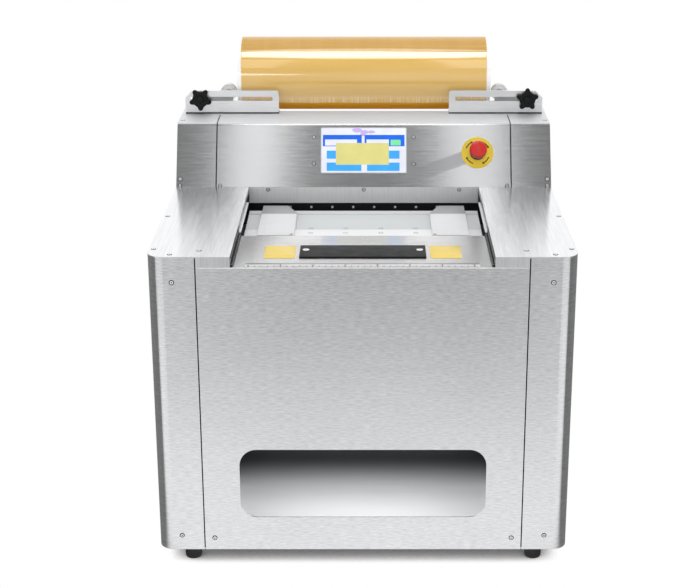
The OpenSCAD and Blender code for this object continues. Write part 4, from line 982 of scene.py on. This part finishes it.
def end_rings(side, order):
    """Radius and x of the rings of one end face, each layer a little uneven."""
    rings = []
    for k in order:
        uneven = 0 if k == END_STEPS else random.uniform(0.0, 0.45)
        rings.append((FILM_BORE + (ROLL_R - FILM_BORE) * k / END_STEPS, side * (ROLL_HALF - uneven)))
    return rings


def wound_film():
    """The wound body of the roll, a little lower where the outer lap lies on it."""
    bm = bmesh.new()
    stations = end_rings(-1, range(END_STEPS + 1))
    stations += [(ROLL_R, -ROLL_HALF + 2 * ROLL_HALF * k / SIDE_STEPS) for k in range(1, SIDE_STEPS)]
    stations += end_rings(1, reversed(range(END_STEPS + 1)))
    rings = []
    for r, x in stations:
        ring = []
        for k in range(ROUND_STEPS):
            a = step(k, ROUND_STEPS)
            under_lap = 134.5 < math.degrees(a) < 224.5 and r > ROLL_R - 0.9
            ring.append(bm.verts.new(roll_point(x, r - (LAP_SEAT if under_lap else 0.0), a)))
        rings.append(ring)
    add_skin(bm, rings, closed=True)
    return piece("wound_film", bm, 50, "film_roll", [film_amber], ["film_roll"])


def lap_point(u, v, radius):
    """A point of the lap: u runs from left to right, v from its top to its torn edge."""
    x = (2 * u - 1) * LAP_HALF
    start = 135.0 - 2.2 * math.sin(math.pi * u) - 0.9 * math.sin(2 * math.pi * u + 0.4)
    end = 223.6 + 0.35 * math.sin(9 * math.pi * u) + 0.25 * math.sin(31 * u)
    wave = max(0.0, 0.9 * math.sin(5 * v + 1.0) + 0.5 * math.sin(17 * v))
    wavy_x = x - math.copysign(wave, x) * max(0.0, (abs(x) - ROLL_HALF) / LAP_OVER)
    past = max(0.0, (abs(x) - ROLL_HALF - 0.5) / LAP_OVER)
    curl = 0.5 * past * (1 + math.sin(7 * v))
    return roll_point(wavy_x, radius - curl, math.radians(start + (end - start) * v))


def outer_lap():
    """The loose outer lap: two layers of points with an edge all round."""
    bm = bmesh.new()
    grid = {}
    for layer in (0, 1):
        for i in range(LAP_COLS + 1):
            for j in range(LAP_ROWS + 1):
                point = lap_point(i / LAP_COLS, j / LAP_ROWS, ROLL_R - layer * LAP_THICK)
                grid[layer, i, j] = bm.verts.new(point)

    def face(*corners):
        bm.faces.new([grid[corner] for corner in corners])

    for layer in (0, 1):
        for i in range(LAP_COLS):
            for j in range(LAP_ROWS):
                face((layer, i, j), (layer, i + 1, j), (layer, i + 1, j + 1), (layer, i, j + 1))
    for i in range(LAP_COLS):
        for j in (0, LAP_ROWS):
            face((0, i, j), (0, i + 1, j), (1, i + 1, j), (1, i, j))
    for j in range(LAP_ROWS):
        for i in (0, LAP_COLS):
            face((0, i, j), (0, i, j + 1), (1, i, j + 1), (1, i, j))
    return piece("outer_lap", bm, 60, "film_roll", [film_lap], ["film_lap"])


def core_tube():
    """Open card tube with broken edges."""
    left = [(CORE_IN, CORE_LIP - CORE_HALF), (CORE_IN + CORE_LIP, -CORE_HALF),
            (CORE_OUT - CORE_LIP, -CORE_HALF), (CORE_OUT, CORE_LIP - CORE_HALF)]
    right = [(r, -h) for r, h in reversed(left)]
    bm = bmesh.new()
    add_lathe(bm, left + right, 96, placed(Vector((0, ROLL.y, ROLL.z)), Vector((1, 0, 0))), 0, True)
    piece("core_tube", bm, 35, "film_roll", [core_board], ["film_core"])


random.seed(11)
wound = wound_film()
lap = outer_lap()
core_tube()

# These would tint the steel around them, which they don't do in the photo
for coloured in (wound, lap, collar_ring, mushroom):
    coloured.visible_glossy = False
    coloured.visible_diffuse = False


# Feet

FOOT_X = 281.5
FOOT_Y = 314
FOOT_PROFILE = ((0, 0.6), (5, 0.6), (6, 0), (10.8, 0), (12.6, 0.7), (13.5, 2.4), (13.9, 8.0), (13.55, 8.7),
                (13.55, 9.7), (14.05, 10.4), (14.6, 19.0), (14.3, 19.7), (14.3, 20.7), (14.75, 21.4),
                (15.2, 27.4), (15.5, 27.9), (15.5, 29.6), (15.1, 30.0), (0, 30.0))
bm = bmesh.new()
for x in (-FOOT_X, FOOT_X):
    for y in (-FOOT_Y, FOOT_Y):
        add_lathe(bm, FOOT_PROFILE, 56, Matrix.Translation(Vector((x, y, 0)) * MM))
piece("rubber_feet", bm, 30, "cabinet", [rubber], ["feet"])


# Front table

TABLE_TOP = -17.3
STRIP_HALF = 100
STRIP_FS = (48.7, 110.2)
LABEL_X = 131.25
LABEL_F = 80.2
RULE_TOP = -16.8
RULE_HALF = 182
RULE_FS = (3.85, 21.8)
RULE_LINE_FS = (19.9, 21.2)
RULE_ZERO = -177.0
RULE_LENGTH = 354
TICK_F = 4.6
INK = 0.03
INK_ZS = (RULE_TOP, RULE_TOP + INK)


def tick_size(k):
    """Width and length of the ruler's tick at k millimetres."""
    if k % 5:
        return 0.34, 2.2
    if k % 10:
        return 0.34, 3.4
    if k % 50:
        return 1.2, 4.6
    return 1.6, 7.5


def rule_figure(k):
    """The plain number of centimetres at the k-th long tick."""
    text = bpy.data.curves.new("figure", "FONT")
    text.body = str(k * 5)
    text.size = 5.2 * MM
    text.extrude = INK / 2 * MM
    text.align_x = "CENTER"
    text.materials.append(mark_black)
    maker = add_object("figure_maker", text)
    me = evaluated_mesh(maker)
    bpy.data.objects.remove(maker)
    me.transform(Matrix.Translation(at(RULE_ZERO + 50 * k, 12.9, RULE_TOP + 0.02)))
    o = add_object("rule_figure_" + text.body, me)
    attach(o, "cabinet")


bm = bmesh.new()
add_slab(bm, (-STRIP_HALF, STRIP_HALF), STRIP_FS, (TABLE_TOP, STRIP_TOP), 0.9, 4)
piece("sealing_strip", bm, 40, "cabinet", [strip_black], ["heater_strip"])

bm = bmesh.new()
for x in (-LABEL_X, LABEL_X):
    middle = Matrix.Translation(at(x, LABEL_F, TABLE_TOP))
    add_prism(bm, rounded(49.5, 65, 3.0), 0, 0.4, 0.12, 2, middle)
piece("yellow_plates", bm, 40, "cabinet", [label_yellow], ["table_labels"])

bm = bmesh.new()
add_slab(bm, (-RULE_HALF, RULE_HALF), RULE_FS, (TABLE_TOP, RULE_TOP), 0.15, 2)
for k in range(RULE_LENGTH + 1):
    width, reach = tick_size(k)
    x = RULE_ZERO + k
    add_slab(bm, (x - width / 2, x + width / 2), (TICK_F, TICK_F + reach), INK_ZS, material=1)
add_slab(bm, (1 - RULE_HALF, RULE_HALF - 1), RULE_LINE_FS, INK_ZS, material=1)
piece("scale_rule", bm, 40, "cabinet", [ruler_face, mark_black], ["ruler_plate"])

for k in range(1, 8):
    rule_figure(k)


# Lift bed and side guides

BED_X = 198.5
BED_LOW = -39.0
FRONT_BOARD_FS = (172, 238.7)
BED_LIP = ((239.3, BED_LOW), (343, BED_LOW), (343, -24.6), (342.4, -24.5), (326.4, -24.5), (325.4, -25.2),
           (325.0, -26.6), (324.0, BED_TOP), (240.0, BED_TOP), (239.3, -27.5))
ACROSS = Matrix(((0, 0, 1, 0), (1, 0, 0, 0), (0, 1, 0, 0), (0, 0, 0, 1)))
GUIDE_OUTLINE = ((114, 174), (175, 174), (175, 351), (131, 351), (114, 306))
GUIDE_INSET = ((118, 180), (164, 180), (164, 298), (118, 298))
GUIDE_LOW = -26.7
GUIDE_TOP = -17.35
INSET_LOW = -17.4
INSET_TOP = -17.2
GUIDE_STEP_F = 323.5
GUIDE_STEP_Z = -24.2
GUIDE_PLUG = ((0, 0), (2.6, 0), (2.6, 0.05), (1.1, 0.05), (1.1, -0.3), (0, -0.3))

bm = bmesh.new()
add_slab(bm, (-BED_X, BED_X), FRONT_BOARD_FS, (BED_LOW, BED_TOP), 1.0, 3)
add_prism(bm, [(FRONT + f, DECK + z) for f, z in BED_LIP], -BED_X, BED_X, 0.5, 2, ACROSS)
piece("bed_boards", bm, 40, "lift", [board_white], ["lift_boards"])


def side_guide(side, word):
    """White guide with a cut corner, stepped over the bed's raised rear strip, with a paler inset."""
    bm = bmesh.new()
    outline = [(side * x, FRONT + f) for x, f in GUIDE_OUTLINE][::side]
    add_prism(bm, outline, DECK + GUIDE_LOW, DECK + GUIDE_TOP, 0.8, 3)
    everything = bm.verts[:] + bm.edges[:] + bm.faces[:]
    step_at = Vector((0, depth(GUIDE_STEP_F), 0))
    bmesh.ops.bisect_plane(bm, geom=everything, plane_co=step_at, plane_no=BACK)
    for v in bm.verts:
        if v.co.y > depth(GUIDE_STEP_F + 0.1) and v.co.z < height(GUIDE_STEP_Z):
            v.co.z = height(GUIDE_STEP_Z)
    inset = [(side * x, FRONT + f) for x, f in GUIDE_INSET][::side]
    add_prism(bm, inset, DECK + INSET_LOW, DECK + INSET_TOP, 0.05, 1, None, 2)
    add_lathe(bm, GUIDE_PLUG, 24, placed(at(side * 118.5, 178.8, GUIDE_TOP), UP), 1)
    guide = word + "_guide"
    piece("side_" + guide, bm, 38, guide, [guide_white, shade_and_plug_black, inset_white], [guide])


for side, word in SIDES:
    side_guide(side, word)


# Small fittings beside the bay that the solids leave to looks

HOOK_X = 206.6
HOOK_ROOT_X = 215
HOOK_LOW = -14
HOOK_TOP = -10.4
BUFFER_Z = -12.5
HOOKS = ((196, 3.0), (236, 4.0), (292, 4.0), (356, 3.5))
HOOK_LENGTH = 6
BUFFER = ((0, 0), (3.0, 0), (3.4, 0.4), (3.4, 2.4), (3.0, 2.8), (0, 2.8))
EDGE_OUT = 204.5
EDGE_FS = (5.0, 168.0)
EDGE_ROWS = ((203.8, -4.6, -2.2, 0), (203.2, -11.4, -4.6, 1), (203.8, -13.2, -11.4, 0),
             (200.7, -17.6, -13.2, 1))
LEDGE_XS = (200.4, 206.8)
LEDGE_FS = (173, 350)
LEDGE_ZS = (-13.5, -11.2)

bm = bmesh.new()
for side in (-1, 1):
    for f, drop in HOOKS:
        xs = (side * HOOK_X, side * HOOK_ROOT_X)
        add_slab(bm, xs, (f, f + HOOK_LENGTH), (HOOK_LOW - drop, HOOK_TOP), 0.8, 2)
        middle = at(side * HOOK_X, f + HOOK_LENGTH / 2, BUFFER_Z - drop / 2)
        add_lathe(bm, BUFFER, 24, placed(middle, Vector((-side, 0, 0))), 1)
piece("fold_fittings", bm, 32, "cabinet", [nylon, knob_black], ())

# The dark rows are painted shadow in the gaps along the bay's edges, between nylon strips
bm = bmesh.new()
for side in (-1, 1):
    for inner_x, z0, z1, material in EDGE_ROWS:
        add_slab(bm, sorted((side * inner_x, side * EDGE_OUT)), EDGE_FS, (z0, z1), 0.2, 2, material)
piece("bay_edges", bm, 32, "cabinet", [shade_and_plug_black, nylon], ())

bm = bmesh.new()
for side in (-1, 1):
    add_slab(bm, sorted(side * x for x in LEDGE_XS), LEDGE_FS, LEDGE_ZS, 0.4, 2)
piece("bay_ledges", bm, 32, "cabinet", [nylon], ())


# Solids that keep their shape

finishes = {
    wall_steel: ["left_side_cover", "right_side_cover", "front_panel", "rear_panel"],
    deck_steel: ["left_deck", "right_deck"],
    top_steel: ["top_plate"],
    face_steel: ["console_cover", "left_console_cap", "right_console_cap"],
    apron_steel: ["console_skirt"],
    table_steel: ["front_table"],
    pocket_steel: ["front_pocket"],
    bracket_steel: ["stop_brackets", "roll_stands"],
    inner_steel: ["base_plate", "inner_walls", "table_rails", "feed_bearings", "lift_frame", "fold_rails",
                  "lift_carrier", "left_fold_plate", "right_fold_plate", "cutter_blade", "heater_block"],
    shaft_steel: ["lift_spindle"],
    roller_shade_amber: ["front_support_roller", "rear_support_roller"],
    arm_alloy: ["left_stop_arm", "right_stop_arm"],
    rubber: ["bracket_gaskets", "feed_roller", "pinch_roller"],
    case_black: ["screen_housing", "mains_inlet", "power_rocker", "estop_stem"],
    drive_paint: ["drive_units"],
    bar_black: ["film_bar"],
}
for material, names in finishes.items():
    for name in names:
        for slot in nodes[name].material_slots:
            slot.material = material


# Floor, in metres as are the lamps and the camera

FLOOR_HALF = 2.6
FLOOR_SHIFT = -0.2


def floor_material():
    """Pale floor with a soft contact shadow, which metal sees dimming with distance."""
    s = Shader("floor", Roughness=0.7)
    s.set(Base_Color=s.mix(s.noise(3), (0.86, 0.86, 0.86), (0.9, 0.9, 0.9)))
    contact = s.add("ShaderNodeAmbientOcclusion", {"Distance": 0.13}, samples=16)
    shadow = s.fade(contact.outputs["AO"], 0.07, 0.38, 0.11, 1.0)
    x, y, _ = s.axes()
    ahead = s.minus(FRONT * MM - FLOOR_SHIFT, y)
    aside = s.minus(s.math("ABSOLUTE", x), 0.30)
    near = s.fade(ahead, 0.25, 1.85, 1.08, 0.2)
    far = s.fade(ahead, 2.0, 2.45, 0, 0.72)
    corner = s.times(s.fade(aside, 0.05, 0.5, 0, 0.5), s.remap(ahead, 0.3, 1.2, 0, 1))
    before = s.fade(s.minus(ahead, s.math("DIVIDE", aside, 1.8)), -0.06, 0.06, 0.2, 1.0)
    level = s.times(s.plus(s.plus(near, far), corner), before)
    mirrored = s.source("ShaderNodeEmission", level, (1, 1, 1))
    seen = s.source("ShaderNodeEmission", shadow, (1, 1, 1))
    path = s.add("ShaderNodeLightPath").outputs
    glossy = s.choose(path["Is Glossy Ray"], s.bsdf.outputs[0], mirrored)
    s.feed(s.out.inputs["Surface"], s.choose(path["Is Camera Ray"], glossy, seen))
    return s.mat


bm = bmesh.new()
bmesh.ops.create_grid(bm, x_segments=2, y_segments=2, size=FLOOR_HALF)
me = bpy.data.meshes.new("floor")
bm.to_mesh(me)
bm.free()
me.materials.append(floor_material())
floor = add_object("floor", me)
floor.location = (0, FLOOR_SHIFT, 0)


# Studio: white to the camera, banded to metal and soft to matt surfaces

world = bpy.data.worlds.new("studio")
bpy.context.scene.world = world
world.use_nodes = True
w = Nodes(world.node_tree)
x, y, z = w.split(w.add("ShaderNodeTexCoord").outputs["Generated"])
path = w.add("ShaderNodeLightPath").outputs
rear = w.fade(y, -0.25, 0.25, 0.0, 1.0)
front = w.minus(1.0, rear)
ahead = w.fade(z, 0.0, 0.4, 0.9, 0.24)
behind = w.fade(z, 0.45, 0.9, 1.45, 1.25)
narrowed = w.fade(w.math("ABSOLUTE", x), 0.55, 0.9, 1.0, 0.25)
mirrored = w.times(w.plus(w.times(ahead, front), w.times(behind, rear)), narrowed)
low_front = w.fade(z, 0.25, 0.55, 1.9, 0.45)
soft = w.plus(w.times(low_front, front), w.times(rear, 1.7))
matte = w.times(path["Is Diffuse Ray"], soft)
shiny = w.times(w.minus(1.0, path["Is Diffuse Ray"]), mirrored)
studio = w.source("ShaderNodeBackground", w.plus(matte, shiny), (0.8, 0.8, 0.8))
white = w.source("ShaderNodeBackground", 1.0, (1, 1, 1))
shown = w.choose(path["Is Camera Ray"], studio, white)
w.feed(w.add("ShaderNodeOutputWorld").inputs["Surface"], shown)


# Lamps


def softbox(name, pos, target, width, length, level, shape="RECTANGLE"):
    """A soft lamp whose face is as bright as level, where 1 is white."""
    light = bpy.data.lights.new(name, "AREA")
    light.shape = shape
    light.size = width
    light.size_y = length
    area = width * length * (math.pi / 4 if shape == "ELLIPSE" else 1)
    light.energy = level * math.pi * area
    o = add_object(name, light)
    o.location = pos
    o.rotation_euler = (Vector(target) - Vector(pos)).to_track_quat("-Z", "Y").to_euler()
    return o


film_light = softbox("film_light", (0, -0.30, 2.5), (0, -0.2999, 0.6), 0.92, 1.32, 3.7, "ELLIPSE")
film_only = bpy.data.collections.new("film_only")
film_only.objects.link(wound)
film_only.objects.link(lap)
film_light.light_linking.receiver_collection = film_only
softbox("overhead", (0, -0.42, 2.5), (0, -0.41, 0.6), 0.78, 0.62, 2.8)
softbox("face_left", (-0.43, -2.25, 2.75), (-0.2, 0.05, 0.58), 0.22, 1.6, 1.25)
softbox("face_right", (0.41, -2.25, 2.75), (0.2, 0.05, 0.58), 0.24, 1.6, 1.15)
softbox("front_left", (-0.62, -2.9, 1.02), (-0.1, 0.2, 0.7), 0.75, 0.26, 4.0, "ELLIPSE")
softbox("pocket", (0, -0.335, 0.2135), (0, -0.332, 0.09), 0.34, 0.02, 14.0)


# Camera

CAMERA_AT = (0.01238, -2.68386, 1.27617)
CAMERA_DOWN = 19.01
cam = bpy.data.cameras.new("camera")
cam.sensor_width = 36.0
cam.lens = 82.61
cam.shift_x = -0.0333
cam.dof.use_dof = False
camera = add_object("camera", cam)
camera.location = CAMERA_AT
camera.rotation_euler = (math.radians(90 - CAMERA_DOWN), 0, 0)
bpy.context.scene.camera = camera
bpy.context.scene.view_settings.view_transform = "Standard"

bpy.context.view_layer.update()
